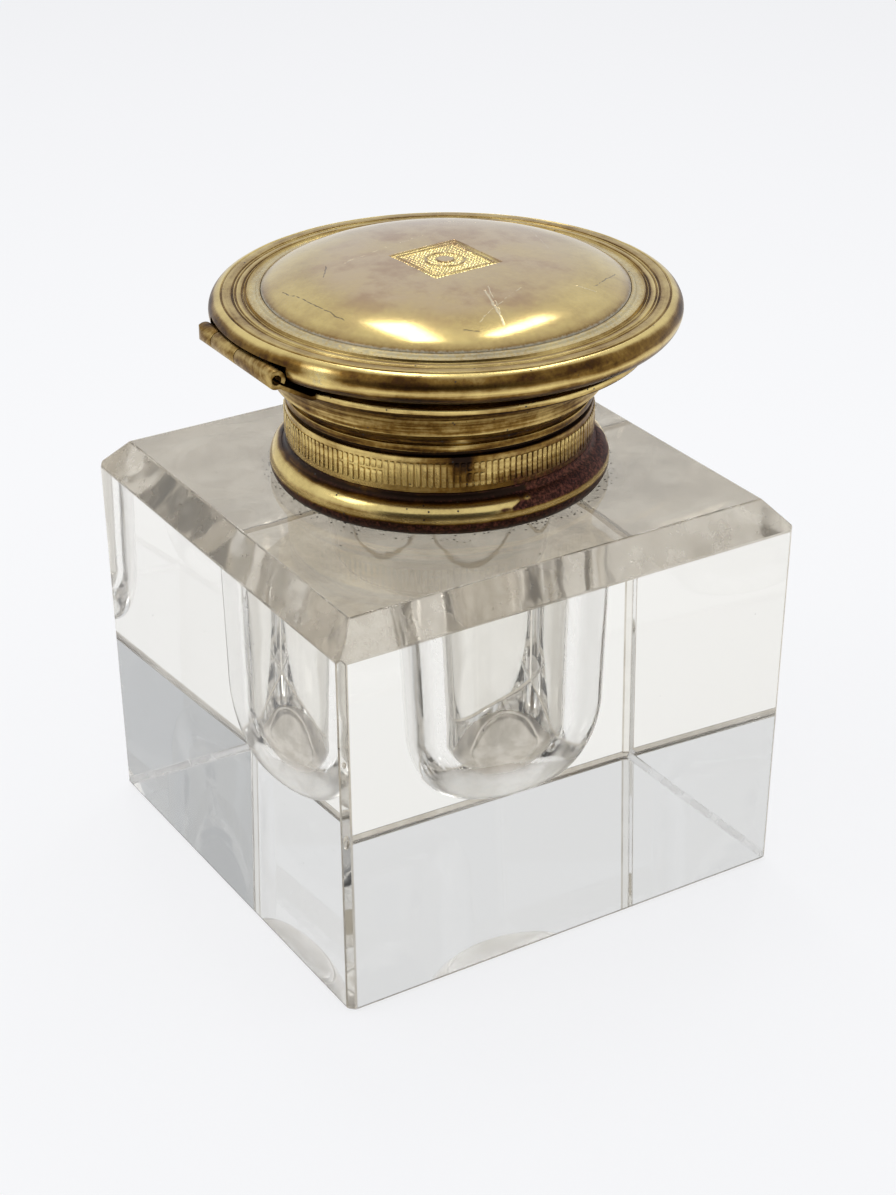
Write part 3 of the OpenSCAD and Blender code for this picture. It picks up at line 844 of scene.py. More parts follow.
def ring_of_reeds():
    """Geometry Nodes: reeds set round a circle, one or the other blank by where they stand, each a little uneven."""
    group = bpy.data.node_groups.new("ring_of_reeds", "GeometryNodeTree")
    made = {}
    for name, kind in (("Geometry", "Geometry"), ("Count", "Int"), ("Radius", "Float"), ("Unevenness", "Float"),
                       ("Whole", "Object"), ("Worn", "Object")):
        made[name] = group.interface.new_socket(name, in_out="INPUT", socket_type=f"NodeSocket{kind}").identifier
    group.interface.new_socket("Geometry", in_out="OUTPUT", socket_type="NodeSocketGeometry")
    given = {socket.name: Wire(socket) for socket in node(group, "NodeGroupInput").outputs if socket.name in made}
    jitter, depth = (wire(group, "FunctionNodeRandomValue", {"Seed": seed}, 1, data_type="FLOAT") for seed in (11, 5))
    heading = step("DIVIDE", wire(group, "GeometryNodeInputIndex") * (2 * pi), given["Count"])
    zones = [step("COMPARE", heading * (180 / pi), middle, half) for middle, half in slipped]
    is_worn = step("GREATER_THAN", highest(*zones) + jitter, 1.22)
    x, y = (step(ratio, heading) * given["Radius"] for ratio in ("COSINE", "SINE"))
    points = wire(group, "GeometryNodePoints", {
        "Count": given["Count"], "Position": wire(group, "ShaderNodeCombineXYZ", {0: x, 1: y})})
    blanks = node(group, "GeometryNodeJoinGeometry")
    for name in ("Worn", "Whole"):
        source = wire(group, "GeometryNodeObjectInfo", {"Object": given[name]}, "Geometry")
        group.links.new(wire(group, "GeometryNodeGeometryToInstance", {0: source}).socket, blanks.inputs[0])
    uneven = (depth - 1.0) * given["Unevenness"] + 1.0
    ring = wire(group, "GeometryNodeInstanceOnPoints", {
        "Points": points, "Instance": Wire(blanks.outputs[0]), "Pick Instance": True, "Instance Index": is_worn,
        "Rotation": wire(group, "ShaderNodeCombineXYZ", {2: heading}),
        "Scale": wire(group, "ShaderNodeCombineXYZ", {0: uneven, 1: 1.0, 2: 1.0})})
    node(group, "NodeGroupOutput", {0: wire(group, "GeometryNodeRealizeInstances", {0: ring})})
    return group, made


reeds = shown_piece("reeds", bpy.data.meshes.new("reeds"))
modifier = reeds.modifiers.new("reeds", "NODES")
modifier.node_group, sockets = ring_of_reeds()
for name, value in (("Count", reed_count), ("Radius", band_r), ("Unevenness", 0.35), ("Whole", whole_reed),
                    ("Worn", worn_reed)):
    modifier[sockets[name]] = value
applied(reeds).data.transform(Matrix.Translation((neck_x, neck_y, band_z)))
for blank in (whole_reed, worn_reed):
    bpy.data.objects.remove(blank)
dressed(reeds, neck_axis, band_tone, collar_brass, "base", "collar_brass", sharp=50)


# The flared ring
# The collar's upper ring, turned with two small grooves, a ridge and a step, and a hollow curve that flares out to
# carry the rim plate. It has stood under the lid's edge, so it is the brownest part; painted shade darkens its grooves
# and the upper curve under the lid, and bright lines are painted at its edges as highlights.
flare_low, flare_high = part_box("flared_ring")
flare_z, flare_top = flare_low.z, flare_high.z
groove_h, ridge_h, quirk_h, step_h = 0.6 * mm, 0.75 * mm, 0.6 * mm, 1.05 * mm
groove_depth = 0.45 * mm
flare_step_r, flare_curve = 18.6 * mm, 3.9 * mm
dark_brass = aged_brass("dark_brass", (neck_x, neck_y, flare_z), gloss=0.24, marks=0.6, blotch=0.6, grime=0.35,
                        streak=1.7)


def flare_tone(radius, height, heading):
    up = (height - flare_z) / mm
    # painted shade: black in the grooves and dark on the upper curve under the lid; painted highlights: the brightest
    # thin lines at the ridge's and step's top edges
    tones = stops(up, [
        (0, BLACK), (0.58, BLACK), (0.61, GOLD), (0.65, OLIVE), (0.7, DARK), (1.24, DARK), (1.3, OLIVE),
        (1.34, PAINTED_HIGHLIGHT), (1.37, DARK), (1.93, BLACK), (1.96, GOLD), (2.05, BROWN), (2.35, BROWN), (2.45, GOLD),
        (2.55, BROWN), (2.8, DARK), (2.95, OLIVE), (3.0, PAINTED_HIGHLIGHT), (3.1, OLIVE), (3.5, BROWN), (3.7, OLIVE),
        (3.8, DARK), (3.9, OLIVE), (4.2, (0.60, 0.25, 0)), (4.7, (0.56, 0.1, 0)), (4.85, GOLD), (4.95, BROWN),
        (5.3, (0.68, 0.35, 0)), (5.8, DARK), (6.8, DARK)])
    pit = np.exp(-((heading - pit_heading) / 4.0) ** 2) * patch(up, 1.2, 2.0, 0.6)
    return toward(tones, pit * 0.5, (0.15, 0, 0.5))


ridge_z = flare_z + groove_h
quirk_z = ridge_z + ridge_h
step_z = quirk_z + quirk_h
curve_z = step_z + step_h
curve_end = 180 - float(np.degrees(np.arcsin((flare_top - curve_z) / flare_curve)))
flare_outline = [
    (collar_bore, flare_z), (band_r - groove_depth, flare_z), (band_r - groove_depth, ridge_z), (band_r, ridge_z),
    (band_r, quirk_z), (band_r - groove_depth, quirk_z), (band_r - groove_depth, step_z), (band_r, step_z),
    *arc(flare_step_r + flare_curve, curve_z, flare_curve, 180, curve_end, 24),
    (collar_bore, flare_top),
]
round_piece("flared_ring_turned", neck_axis, flare_outline, flare_tone, dark_brass, "base", "dark_brass",
            "flared_ring", dents=8)


# The rim plate and the mouth sleeve
# A flat turned plate that the lid closes on, with a straight cut at the back for the hinge leaf, and a thin spun
# sleeve that lines the mouth and turns out over the top of the glass neck.
plate_low, plate_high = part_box("rim_plate")
disc_low, disc_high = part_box("lid_disc")
head_axis = ((disc_low.x + disc_high.x) / 2, (disc_low.y + disc_high.y) / 2)
plate_r = (plate_high.x - plate_low.x) / 2
sleeve_low, sleeve_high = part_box("mouth_sleeve")
lip_r = (sleeve_high.x - sleeve_low.x) / 2
sleeve_out, sleeve_wall, lip_t = 10.45 * mm, 0.5 * mm, 0.4 * mm
leaf_front = 18.45 * mm
past_back = 32 * mm
barrel_from, barrel_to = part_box("collar_leaf")[0].x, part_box("collar_leaf")[1].x


def plate_tone(radius, height, heading):
    # painted shade: the dark ring near the edge, under the lid's rim, and the darkened underside
    tones = stops(radius / mm, [
        (9.9, OLIVE), (11, BROWN), (15, OLIVE), (18, BROWN), (21.5, DARK), (22.2, BROWN), (22.6, GOLD)])
    return toward(tones, patch(height, 0, plate_low.z + 0.15 * mm, 0.1 * mm), DARK)


def boolean(piece, operation, other):
    """Cuts one piece with another and removes the cutter."""
    mended(piece, "BOOLEAN", operation=operation, object=other, solver="MANIFOLD")
    bpy.data.objects.remove(other)
    smoothed(piece.data)


def block_tool(low, high):
    """A plain box between two corners, to cut with."""
    bm = bmesh.new()
    bmesh.ops.create_cube(bm, size=1)
    size, middle = Vector(high) - Vector(low), (Vector(high) + Vector(low)) / 2
    bmesh.ops.transform(bm, matrix=Matrix.Translation(middle) @ Matrix.Diagonal((*size, 1)), verts=bm.verts)
    return shown_piece("tool", mesh_of(bm, "tool"))


def round_tool(axis, radius, low, high):
    return spun_piece("tool", axis, [(0, low), (radius, low), (radius, high), (0, high)], 256, False)


bead_in, bead_up = 0.1 * mm, 0.16 * mm
groove_r, groove_lift = 0.12 * mm, 0.04 * mm
plate_outline = [(0, plate_low.z), (plate_r - bead_in, plate_low.z), (plate_r, plate_low.z + bead_up),
                 (plate_r, plate_high.z - bead_up), (plate_r - bead_in, plate_high.z)]
for groove in (21.9 * mm, 19.2 * mm, 15.4 * mm):
    plate_outline += arc(groove, plate_high.z + groove_lift, groove_r, -20, -160, 4)
plate_outline += [(0, plate_high.z)]
plate = spun_piece("rim_plate_turned", head_axis, eased(plate_outline, 0.06 * mm, False), round_steps, False)
cut_low, cut_high = plate_low.z - mm, plate_high.z + mm
boolean(plate, "DIFFERENCE", round_tool(neck_axis, sleeve_out - sleeve_wall, cut_low, cut_high))
boolean(plate, "DIFFERENCE", block_tool((barrel_from, leaf_front, cut_low), (barrel_to, past_back, cut_high)))
dressed(plate, head_axis, plate_tone, dark_brass, "base", "dark_brass", "rim_plate")


def sleeve_tone(radius, height, heading):
    return stops((height - sleeve_low.z) / mm, [(0, BLACK), (1.5, DARK), (4, BROWN), (6, OLIVE)])


sleeve_in = sleeve_out - sleeve_wall
sleeve_outline = [
    (sleeve_in, sleeve_low.z), (sleeve_out, sleeve_low.z), (sleeve_out, sleeve_high.z - lip_t),
    (lip_r, sleeve_high.z - lip_t), (lip_r, sleeve_high.z), (sleeve_in, sleeve_high.z)]
round_piece("mouth_sleeve_spun", neck_axis, sleeve_outline, sleeve_tone, dark_brass, "base", "dark_brass",
            "mouth_sleeve", steps=192, ease=0.15 * mm)


# The hinge
# Two leaves of sheet brass whose edges are rolled round a drawn steel pin: the collar's leaf into a long and a short
# knuckle, the lid's into the one between them. The barrel's ends are filed at the back to follow the lid's round.
pin_low, pin_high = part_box("hinge_pin")
pin_y, pin_z = (pin_low.y + pin_high.y) / 2, (pin_low.z + pin_high.z) / 2
pin_r = (pin_high.z - pin_low.z) / 2
lid_leaf_low, lid_leaf_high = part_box("lid_leaf")
roll_out, roll_in, sheet_t = 1.05 * mm, 0.55 * mm, 0.5 * mm
knuckle_gap, strip_lap = 0.12 * mm, 0.3 * mm
long_end, short_start = lid_leaf_low.x - knuckle_gap, lid_leaf_high.x + knuckle_gap
file_r, file_wall = 27.5 * mm, 0.1 * mm
hinge_brass = aged_brass("hinge_brass", (neck_x, pin_y, pin_z), gloss=0.3, marks=0.15, blotch=0.5, grime=0.3)


def drawn_out(name, outline, start, end, ease=0.1 * mm):
    """A closed (y, z) outline drawn out along X, with its end edges eased."""
    bm = bmesh.new()
    ring = [bm.verts.new((start, y, z)) for y, z in outline]
    face = bm.faces.new(ring)
    far = bmesh.ops.extrude_face_region(bm, geom=[face])["geom"]
    bmesh.ops.translate(bm, vec=(end - start, 0, 0), verts=[v for v in far if isinstance(v, bmesh.types.BMVert)])
    bmesh.ops.recalc_face_normals(bm, faces=bm.faces)
    rims = [e for e in bm.edges if abs(e.verts[0].co.x - e.verts[1].co.x) < 1e-9]
    bmesh.ops.bevel(bm, geom=rims, offset=ease, segments=2, profile=0.5, affect="EDGES", clamp_overlap=True)
    return shown_piece(name, mesh_of(bm, name))


def from_pin(points):
    return [(pin_y + y, pin_z + z) for y, z in points]


leaf_bend_y = leaf_front + 2 * sheet_t
leaf_z = plate_low.z
collar_roll = [
    (leaf_front, leaf_z), (leaf_bend_y, leaf_z),
    *from_pin(arc(0, 0, roll_out, -106, 214, 44)), *from_pin(arc(0, 0, roll_in, 214, -122, 40)),
    (leaf_bend_y, leaf_z + sheet_t), (leaf_front, leaf_z + sheet_t)]
collar_roll = eased(collar_roll, 0.12 * mm)
collar_leaf = drawn_out("collar_leaf_rolled", collar_roll, barrel_from, long_end)
second = drawn_out("short_knuckle", collar_roll, short_start, barrel_to)
strip_y, strip_z = pin_y - 1.45 * mm, pin_z - 1.62 * mm
strip_outline = eased([
    (leaf_front, leaf_z), (leaf_bend_y, leaf_z), (strip_y, strip_z), (strip_y, strip_z + sheet_t),
    (leaf_bend_y, leaf_z + sheet_t), (leaf_front, leaf_z + sheet_t)], 0.1 * mm)
strip = drawn_out("strip", strip_outline, long_end - strip_lap, short_start + strip_lap)
boolean(collar_leaf, "UNION", strip)
boolean(collar_leaf, "UNION", second)
file_y = pin_y + roll_in + file_wall - (file_r ** 2 - ((barrel_to - barrel_from) / 2) ** 2) ** 0.5
boolean(collar_leaf, "INTERSECT", round_tool((neck_x, file_y), file_r, leaf_z - mm, pin_z + 3 * mm))


def leaf_tone(radius, height, heading):
    return stops((height - pin_z) / mm, [
        (-3, DARK), (-1.2, BROWN), (-0.8, OLIVE), (0.2, BROWN), (0.7, OLIVE), (1.05, BROWN)])


dressed(collar_leaf, head_axis, leaf_tone, hinge_brass, "base", "hinge_brass", "collar_leaf")

lid_roll_front = pin_y - 1.0 * mm
lid_leaf_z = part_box("lid_rim")[0].z
lid_roll = eased([
    (lid_leaf_low.y, lid_leaf_z), (lid_roll_front, lid_leaf_z),
    *from_pin(arc(0, 0, roll_out, -136, 168, 44)), *from_pin(arc(0, 0, roll_in, 168, -150, 40)),
    (lid_roll_front, lid_leaf_z + sheet_t), (lid_leaf_low.y, lid_leaf_z + sheet_t)], 0.1 * mm)
lid_leaf = drawn_out("lid_leaf_rolled", lid_roll, lid_leaf_low.x, lid_leaf_high.x)
dressed(lid_leaf, head_axis, leaf_tone, hinge_brass, "lid", "hinge_brass", "lid_leaf")

material, tree = new_material("drawn_steel")
place = in_mm(tree, (neck_x, pin_y, pin_z))
streak = noise(vector_step("MULTIPLY", place, (0.4, 6.0, 6.0)), 2.0, 3)
rust = between(noise(place, 0.9, 5, 0.7), 0.45, 0.7)
steel = blended(streak, (0.33, 0.31, 0.29), (0.52, 0.50, 0.47))
principled(material, {
    "Base Color": blended(rust, steel, (0.13, 0.06, 0.03)), "Metallic": 1.0 - rust * 0.7,
    "Roughness": between(rust, 0, 1, 0.32, 0.8), "Normal": bump(streak, 0.3, 0.02 * mm)})
pin_half = (pin_high.x - pin_low.x) / 2
pin_end = [(0, 0), (pin_r * 0.55, 0.02 * mm), (pin_r * 0.85, 0.12 * mm), (pin_r, 0.3 * mm)]
pin_outline = [(r, z - pin_half) for r, z in pin_end] + [(r, pin_half - z) for r, z in reversed(pin_end)]
pin_mesh = spun("hinge_pin_drawn", (0, 0), pin_outline, 32, closed=False)
pin_mesh.transform(Matrix.Translation(((pin_low.x + pin_high.x) / 2, pin_y, pin_z)) @ Matrix.Rotation(pi / 2, 4, "Y"))
smoothed(pin_mesh)
placed(shown_piece("hinge_pin_drawn", pin_mesh), [material], "base", "pin_metal", "hinge_pin")


# The lid's rim
# A turned ring with a full roll at its edge. Fine lines are cut round its sloping top, and a shallow channel runs
# round the dome, where old polish and verdigris have gathered. It is notched at the back for the hinge.
rim_low, rim_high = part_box("lid_rim")
rim_z = rim_low.z
lid_r = rim_high.x - head_axis[0]
rim_h, rim_rise = 3.4 * mm, 0.35 * mm
rim_bore, dome_r, dome_t, dome_gap = 18.8 * mm, 20.3 * mm, 0.7 * mm, 0.05 * mm
roll_r = rim_h / 2
roll_x = lid_r - roll_r
line_r, line_depth = 0.13 * mm, 0.16 * mm
fine_lines = (24.65 * mm, 23.42 * mm, 23.08 * mm, 22.32 * mm, 22.02 * mm)
channel_from, channel_to, channel_depth, channel_side = 20.75 * mm, 21.85 * mm, 0.24 * mm, 0.2 * mm
seat_top = rim_z + rim_h + rim_rise
lid_brass = aged_brass("lid_brass", (*head_axis, rim_z), gloss=0.19, marks=0.45, blotch=0.42, grime=0.20, streak=1.4)


def slope_z(radius):
    return rim_z + rim_h + rim_rise * (roll_x - radius) / (roll_x - dome_r)


def rim_top(radius):
    """Height of the rim's top at a radius, out to the roll's side."""
    return min(slope_z(radius), rim_z + roll_r + (max(roll_r ** 2 - max(radius - roll_x, 0) ** 2, 0)) ** 0.5)


rim_outline = [(rim_bore, rim_z), *arc(roll_x, rim_z + roll_r, roll_r, -90, 74, 40)]
for line in fine_lines:
    z = rim_top(line)
    rim_outline += [
        (line + line_r, rim_top(line + line_r)), (line + line_r * 0.45, z - line_depth * 0.8), (line, z - line_depth),
        (line - line_r * 0.45, z - line_depth * 0.8), (line - line_r, rim_top(line - line_r))]
rim_outline += [
    (channel_to, slope_z(channel_to)), (channel_to - channel_side, slope_z(channel_to) - channel_depth * 0.8),
    (channel_from + channel_side, slope_z(channel_from) - channel_depth), (channel_from, slope_z(channel_from)),
    (dome_r + dome_gap, seat_top), (dome_r + dome_gap, seat_top - dome_t), (rim_bore, seat_top - dome_t)]


def rim_tone(radius, height, heading):
    up = (height - rim_z) / mm
    # painted highlights: the gold lips beside the fine lines and the brightest band on the roll's crown
    tones = stops(radius / mm, [
        (18.8, DARK), (20.3, DARK), (20.45, (0.3, 0, 0.8)), (21.5, (0.25, 0, 0.75)), (21.9, OLIVE), (22.02, DARK),
        (22.17, GOLD), (22.32, DARK), (22.55, OLIVE), (22.95, GOLD), (23.08, DARK), (23.25, GOLD), (23.42, DARK),
        (23.65, OLIVE), (24.4, GOLD), (24.65, DARK), (24.85, PAINTED_HIGHLIGHT), (25.4, GOLD), (26.1, OLIVE)])
    # on the roll's side: painted shade at its foot, a gold band low down that is a painted reflection of the pale
    # table, red-brown tarnish across its face, and a painted highlight at its top
    side = stops(up, [
        (0, BLACK), (0.8, DARK), (1.1, BROWN), (1.3, OLIVE), (1.5, GOLD), (1.7, OLIVE), (1.9, BROWN),
        (2.0, (0.70, 0.22, 0)), (2.6, (0.79, 0.24, 0)), (2.95, BROWN), (3.1, GOLD), (3.3, PAINTED_HIGHLIGHT), (3.4, GOLD)])
    is_side = patch(radius, roll_x + 0.5 * mm, 1, 0.3 * mm)
    tones = tones + is_side[:, None] * (side - tones)
    # the roll's front is painted red-brown: tarnish, and a painted dark reflection of what stands in front
    front_tarnish_and_painted_reflection = patch(heading, 118, 196, 20) * patch(up, 2.35, 3.1, 0.1) * is_side
    tones = toward(tones, front_tarnish_and_painted_reflection * 0.8, (0.70, 0.35, 0))
    # painted shade: the rim's underside and lowest edge are darkened
    tones = toward(tones, patch(height, 0, rim_z + 0.6 * mm, 0.3 * mm), DARK)
    worn = np.exp(-((heading - 118) / 4) ** 2) * patch(up, 1.2, 2.8, 0.5) * patch(radius, 25.0 * mm, 1, 0.4 * mm)
    return toward(tones, worn, (0.1, 0, 0.55))


rim_mesh = spun("lid_rim_turned", head_axis, eased(rim_outline, 0.06 * mm, turn=32), 384)
dented(rim_mesh, seed=31, count=26, depth=0.045 * mm, width=2.4 * mm)
rim = shown_piece("lid_rim_turned", rim_mesh)
notch, leaf_gap = 0.3 * mm, 0.08 * mm
boolean(rim, "DIFFERENCE", block_tool((barrel_from - notch, pin_y - roll_out - sheet_t, rim_z - mm),
                                      (barrel_to + notch, past_back, pin_z + roll_out + notch)))
boolean(rim, "DIFFERENCE", block_tool((lid_leaf_low.x - leaf_gap, disc_high.y, rim_z - mm),
                                      (lid_leaf_high.x + leaf_gap, past_back, rim_z + sheet_t)))
dressed(rim, head_axis, rim_tone, lid_brass, "lid", "lid_brass", "lid_rim")


# The dome
# Sheet brass, pressed low and flat with a full shoulder, and sunk into the rim. Its crown has tarnished brown and
# grey, its shoulder is worn golden, and a small square with a stippled ground is stamped at its middle.
dome_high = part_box("lid_dome")[1]
dome_rise, dome_flat, dome_steep = dome_high.z - seat_top, 3.2, 0.75
grid_r, steps = 7.4 * mm, 150
shoulder_steps, inner_steps = 44, 14
stamp_middle, stamp_turn, stamp_half = (-0.09, 0.13), radians(3.6), 4.45
stamp_depth, stamp_edge = 0.20, 0.10
bar_inset, bar_half, raised_edge = 0.67, 0.14, 0.12
boss_r, boss_edge, boss_ring_r, boss_ring_half = 1.15, 0.35, 2.15, 0.16
stipple_pitch, stipple_r, stipple_h = 0.46, 0.20, 0.12


def dome_height(radius, foot, rise):
    return rise * np.power(np.clip(1 - np.power(np.clip(radius / foot, 0, 1), dome_flat), 0, 1), dome_steep)


def step_down(distance, width):
    """0 outside an edge, 1 well inside it, with a soft wall of this width."""
    t = np.clip(-distance / width, 0, 1)
    return t * t * (3 - 2 * t)


def stamp(x, y):
    """How far the stamp raises the dome at a point, in millimetres from its middle, and how much of its stippled
    ground is there."""
    x, y = x - stamp_middle[0], y - stamp_middle[1]
    u = x * cos(stamp_turn) + y * sin(stamp_turn)
    v = y * cos(stamp_turn) - x * sin(stamp_turn)
    edge = np.maximum(abs(u), abs(v)) - stamp_half
    ground = step_down(edge, stamp_edge)
    frame_bar = step_down(abs(edge + bar_inset) - bar_half, raised_edge)
    out = np.hypot(u, v)
    boss = step_down(out - boss_r, boss_edge)
    ring = step_down(abs(out - boss_ring_r) - boss_ring_half, raised_edge)
    raised = np.maximum(np.maximum(frame_bar, boss), ring)
    column, row = np.floor(u / stipple_pitch), np.floor(v / stipple_pitch)
    # a sine of large numbers scatters the dots, the same way each time
    scatter = np.abs(np.sin(column * 12.9898 + row * 78.233) * 43758.5453) % 1
    other = np.abs(np.sin(column * 39.346 + row * 11.135) * 24634.6345) % 1
    du = u - (column + 0.35 + 0.3 * scatter) * stipple_pitch
    dv = v - (row + 0.35 + 0.3 * other) * stipple_pitch
    dot = np.clip(1 - (du ** 2 + dv ** 2) / stipple_r ** 2, 0, 1)
    plain = ground * (1 - raised)
    return -stamp_depth * plain + stipple_h * dot * plain * step_down(edge + 0.2, 0.1), plain


side = np.linspace(-1, 1, steps + 1)
a, b = np.meshgrid(side, side, indexing="ij")
wide = abs(a) > abs(b)
safe_a, safe_b = np.where(a == 0, 1, a), np.where(b == 0, 1, b)
reach = np.where(wide, a, b)
angle = np.where(wide, pi / 4 * b / safe_a, pi / 2 - pi / 4 * a / safe_b)
disc = np.stack([reach * np.cos(angle), reach * np.sin(angle)], -1).reshape(-1, 2) * grid_r
flat = np.hypot(disc[:, 0], disc[:, 1])
lift_mm, ground = stamp(disc[:, 0] / mm, disc[:, 1] / mm)
height = seat_top + dome_height(flat, dome_r, dome_rise) + lift_mm * mm
points = [(head_axis[0] + p[0], head_axis[1] + p[1], z) for p, z in zip(disc, height)]
width = steps + 1
faces = [(i * width + j, (i + 1) * width + j, (i + 1) * width + j + 1, i * width + j + 1)
         for i in range(steps) for j in range(steps)]
rim_ring = ([i * width for i in range(steps)] + [steps * width + j for j in range(steps)]
            + [(steps - i) * width + steps for i in range(steps)] + [steps - j for j in range(steps)])
rim_angles = [np.arctan2(disc[k][1], disc[k][0]) for k in rim_ring]


def inner_height(radius):
    return seat_top + float(dome_height(radius, dome_r - dome_t, dome_rise - dome_t))


outer = [(r, seat_top + float(dome_height(r, dome_r, dome_rise))) for r in (
    grid_r + (dome_r - grid_r) * sin(k / shoulder_steps * pi / 2) for k in range(1, shoulder_steps + 1))]
shell = outer + [(dome_r, seat_top - dome_t), (dome_r - dome_t, seat_top - dome_t)]
shell += [(r, inner_height(r)) for r in ((dome_r - dome_t) * cos(k / inner_steps * pi / 2) for k in range(inner_steps))]
last = rim_ring
for r, z in shell:
    first = len(points)
    points += [(head_axis[0] + r * cos(t), head_axis[1] + r * sin(t), z) for t in rim_angles]
    ring = list(range(first, first + len(rim_angles)))
    faces += [(last[k], ring[k], ring[(k + 1) % len(ring)], last[(k + 1) % len(ring)]) for k in range(len(ring))]
    last = ring
faces.append(tuple(last))
mesh = bpy.data.meshes.new("lid_dome_pressed")
mesh.from_pydata(points, [], faces)
outward_faces(mesh)
dented(mesh, seed=4, count=34, depth=0.035 * mm, width=3.4 * mm)


def dome_tone(radius, height, heading):
    return stops(radius / mm, [
        (0, (0.32, 0.12, 0)), (10, (0.32, 0.12, 0)), (13, (0.32, 0.06, 0)), (15.5, (0.28, 0, 0)), (17, GOLD),
        (19.2, GOLD), (19.9, OLIVE), (20.2, (0.6, 0, 0.7)), (20.3, (0.7, 0, 0.9))])


paint(mesh, head_axis, dome_tone)
layer = mesh.attributes["patina"]
colours = np.empty(len(mesh.vertices) * 4, np.float32)
layer.data.foreach_get("color", colours)
colours = colours.reshape(-1, 4)
bottom = np.zeros(len(colours))
bottom[:len(ground)] = ground
walls = 4 * bottom * (1 - bottom)
colours[:, 0] = np.clip(colours[:, 0] - bottom * 0.40 + walls * 0.5, 0, 1)
colours[:, 2] = np.clip(colours[:, 2] + bottom * 0.18, 0, 1)
layer.data.foreach_set("color", colours.ravel())
stamped_at = np.clip(bottom + walls, 0, 1).astype(np.float32)
mesh.attributes.new("stamped", "FLOAT", "POINT").data.foreach_set("value", stamped_at)
smoothed(mesh, 60)

scratches = [
    # both ends in millimetres from the lid's middle, half the width, and whether it is dark or bright
    ((4.5, 17.9), (-6.6, 16.6), 0.09, 1), ((-13.0, -10.8), (-9.6, -16.2), 0.08, 1),
    ((-10.2, 1.4), (-16.9, 3.4), 0.16, 0), ((-9.4, 0.6), (-15.8, 2.9), 0.08, 0), ((-11.2, -2.4), (-15.4, 5.4), 0.06, 0),
    ((-12.6, -8.6), (-14.0, -10.2), 0.08, 0), ((6.0, 11.6), (3.4, 13.4), 0.09, 1),
    ((-15.8, 7.6), (-16.7, 6.2), 0.10, 1),
    ((7.9, -2.0), (5.2, 9.8), 0.05, 0), ((12.0, -6.4), (9.1, -11.7), 0.05, 0), ((-2.2, -12.0), (5.6, -14.4), 0.05, 0),
]
dome_brass = aged_brass("dome_brass", (*head_axis, seat_top), gloss=0.13, marks=0.15, blotch=0.34, grime=0.10,
                        streak=0.12)
tree = dome_brass.node_tree
shader = next(n for n in tree.nodes if n.type == "BSDF_PRINCIPLED")
base_colour, base_bump = (Wire(shader.inputs[key].links[0].from_socket) for key in ("Base Color", "Normal"))
place = in_mm(tree, (*head_axis, seat_top))
wander_reach = 0.5
wander = wire(tree, "ShaderNodeTexNoise", {"Vector": flattened(place), "Scale": 0.8, "Detail": 2.0}, "Color")
wander = vector_step("SCALE", vector_step("ADD", wander, (-0.5, -0.5, -0.5)), scale=wander_reach)
flat_place = vector_step("ADD", flattened(place), wander)


def scratch_mask(place, start, end, half_width):
    """1 along the line between two points, 0 away from it."""
    start, end = Vector((*start, 0)), Vector((*end, 0))
    along = end - start
    away = vector_step("ADD", place, -start)
    share = vector_step("DOT_PRODUCT", away, along / along.length_squared, output="Value")
    nearest = vector_step("SCALE", tuple(along), scale=step("ADD", share, 0.0, clamp=True))
    gap = vector_step("DISTANCE", away, nearest, output="Value")
    return between(gap, half_width * 0.4, half_width, 1.0, 0.0)


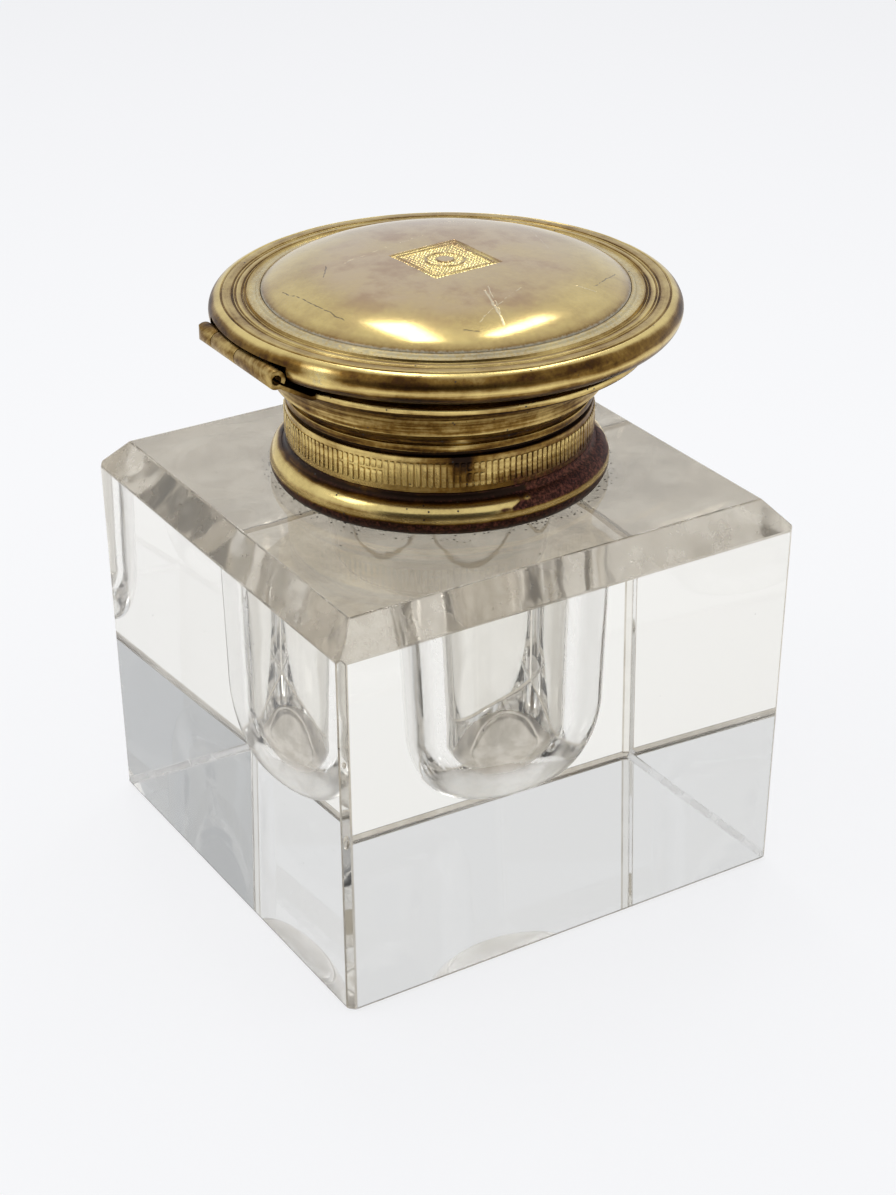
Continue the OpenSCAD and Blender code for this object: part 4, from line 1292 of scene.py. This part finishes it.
marks = [0.0, 0.0]
for start, end, half_width, is_dark in scratches:
    marks[is_dark] = highest(marks[is_dark], scratch_mask(flat_place, start, end, half_width))
bright_mark, dark_mark = marks
out_from_middle = out_from_axis(flat_place)
flush = between(noise(place, 0.11, 5, 0.6), 0.38, 0.62, 0.55, 1.0) * between(out_from_middle, 12.0, 17.0, 0.85, 0.0)
cloudy = between(noise(place, 0.19, 5, 0.6), 0.46, 0.70) * between(out_from_middle, 12.0, 17.5, 0.68, 0.24)
colour = blended(flush * (1.0 - attribute(tree, "stamped", "Fac")), base_colour, (0.635, 0.475, 0.285))
colour = blended(cloudy, colour, (0.40, 0.235, 0.12))
colour = blended(bright_mark * 0.65, colour, (0.86, 0.76, 0.52))
colour = blended(dark_mark * 0.8, colour, (0.10, 0.07, 0.03))
scored = bump(highest(bright_mark, dark_mark) * -1.0, 0.5, 0.05 * mm, Normal=base_bump)
tree.links.new(colour.socket, shader.inputs["Base Color"])
tree.links.new(scored.socket, shader.inputs["Normal"])
# the old lacquer
shader.inputs["Coat Weight"].default_value, shader.inputs["Coat Roughness"].default_value = 0.5, 0.05
placed(shown_piece("lid_dome_pressed", mesh), [dome_brass], "lid", "lid_brass", "lid_dome")


# The underside of the lid
# A turned disc closes the lid and shuts on the rim plate, and a short ring soldered under it drops into the mouth.
# Neither has been polished: they are brown, with bright rings where they rub, and ink has dried on the ring.
disc_r = (disc_high.x - disc_low.x) / 2
spigot_low, spigot_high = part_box("lid_spigot")
spigot_out, spigot_wall = (spigot_high.x - spigot_low.x) / 2, 0.8 * mm
disc_outline = [(0, disc_low.z + 0.25 * mm), (0.5 * mm, disc_low.z + 0.05 * mm), (0.9 * mm, disc_low.z)]
for groove in (5.2, 7.9, 12.6, 15.2, 17.9, 18.5):
    disc_outline += arc(groove * mm, disc_low.z - 0.03 * mm, 0.14 * mm, 165, 15, 5)
disc_outline += [(disc_r, disc_low.z), (disc_r, disc_high.z), (0, disc_high.z)]


def disc_tone(radius, height, heading):
    return stops(radius / mm, [(0, BROWN), (3, OLIVE), (8, BROWN), (9.5, DARK), (11, BROWN), (14, OLIVE), (17, OLIVE),
                               (19.3, GOLD), (20.3, BROWN)])


underside_brass = aged_brass("underside_brass", (*head_axis, disc_low.z), gloss=0.3, marks=0.9, blotch=0.55, grime=0.4)
round_piece("lid_disc_turned", head_axis, disc_outline, disc_tone, underside_brass, "lid", "dark_brass", "lid_disc",
            ease=0.12 * mm, closed=False)


def spigot_tone(radius, height, heading):
    return stops((height - spigot_low.z) / mm, [(0, GOLD), (0.4, OLIVE), (1.2, DARK), (1.8, BLACK)])


spigot_outline = hollow_tube(spigot_out - spigot_wall, spigot_out, spigot_low.z, spigot_high.z)
round_piece("lid_spigot_turned", neck_axis, spigot_outline, spigot_tone, underside_brass, "lid", "dark_brass",
            "lid_spigot", steps=192, ease=0.2 * mm)
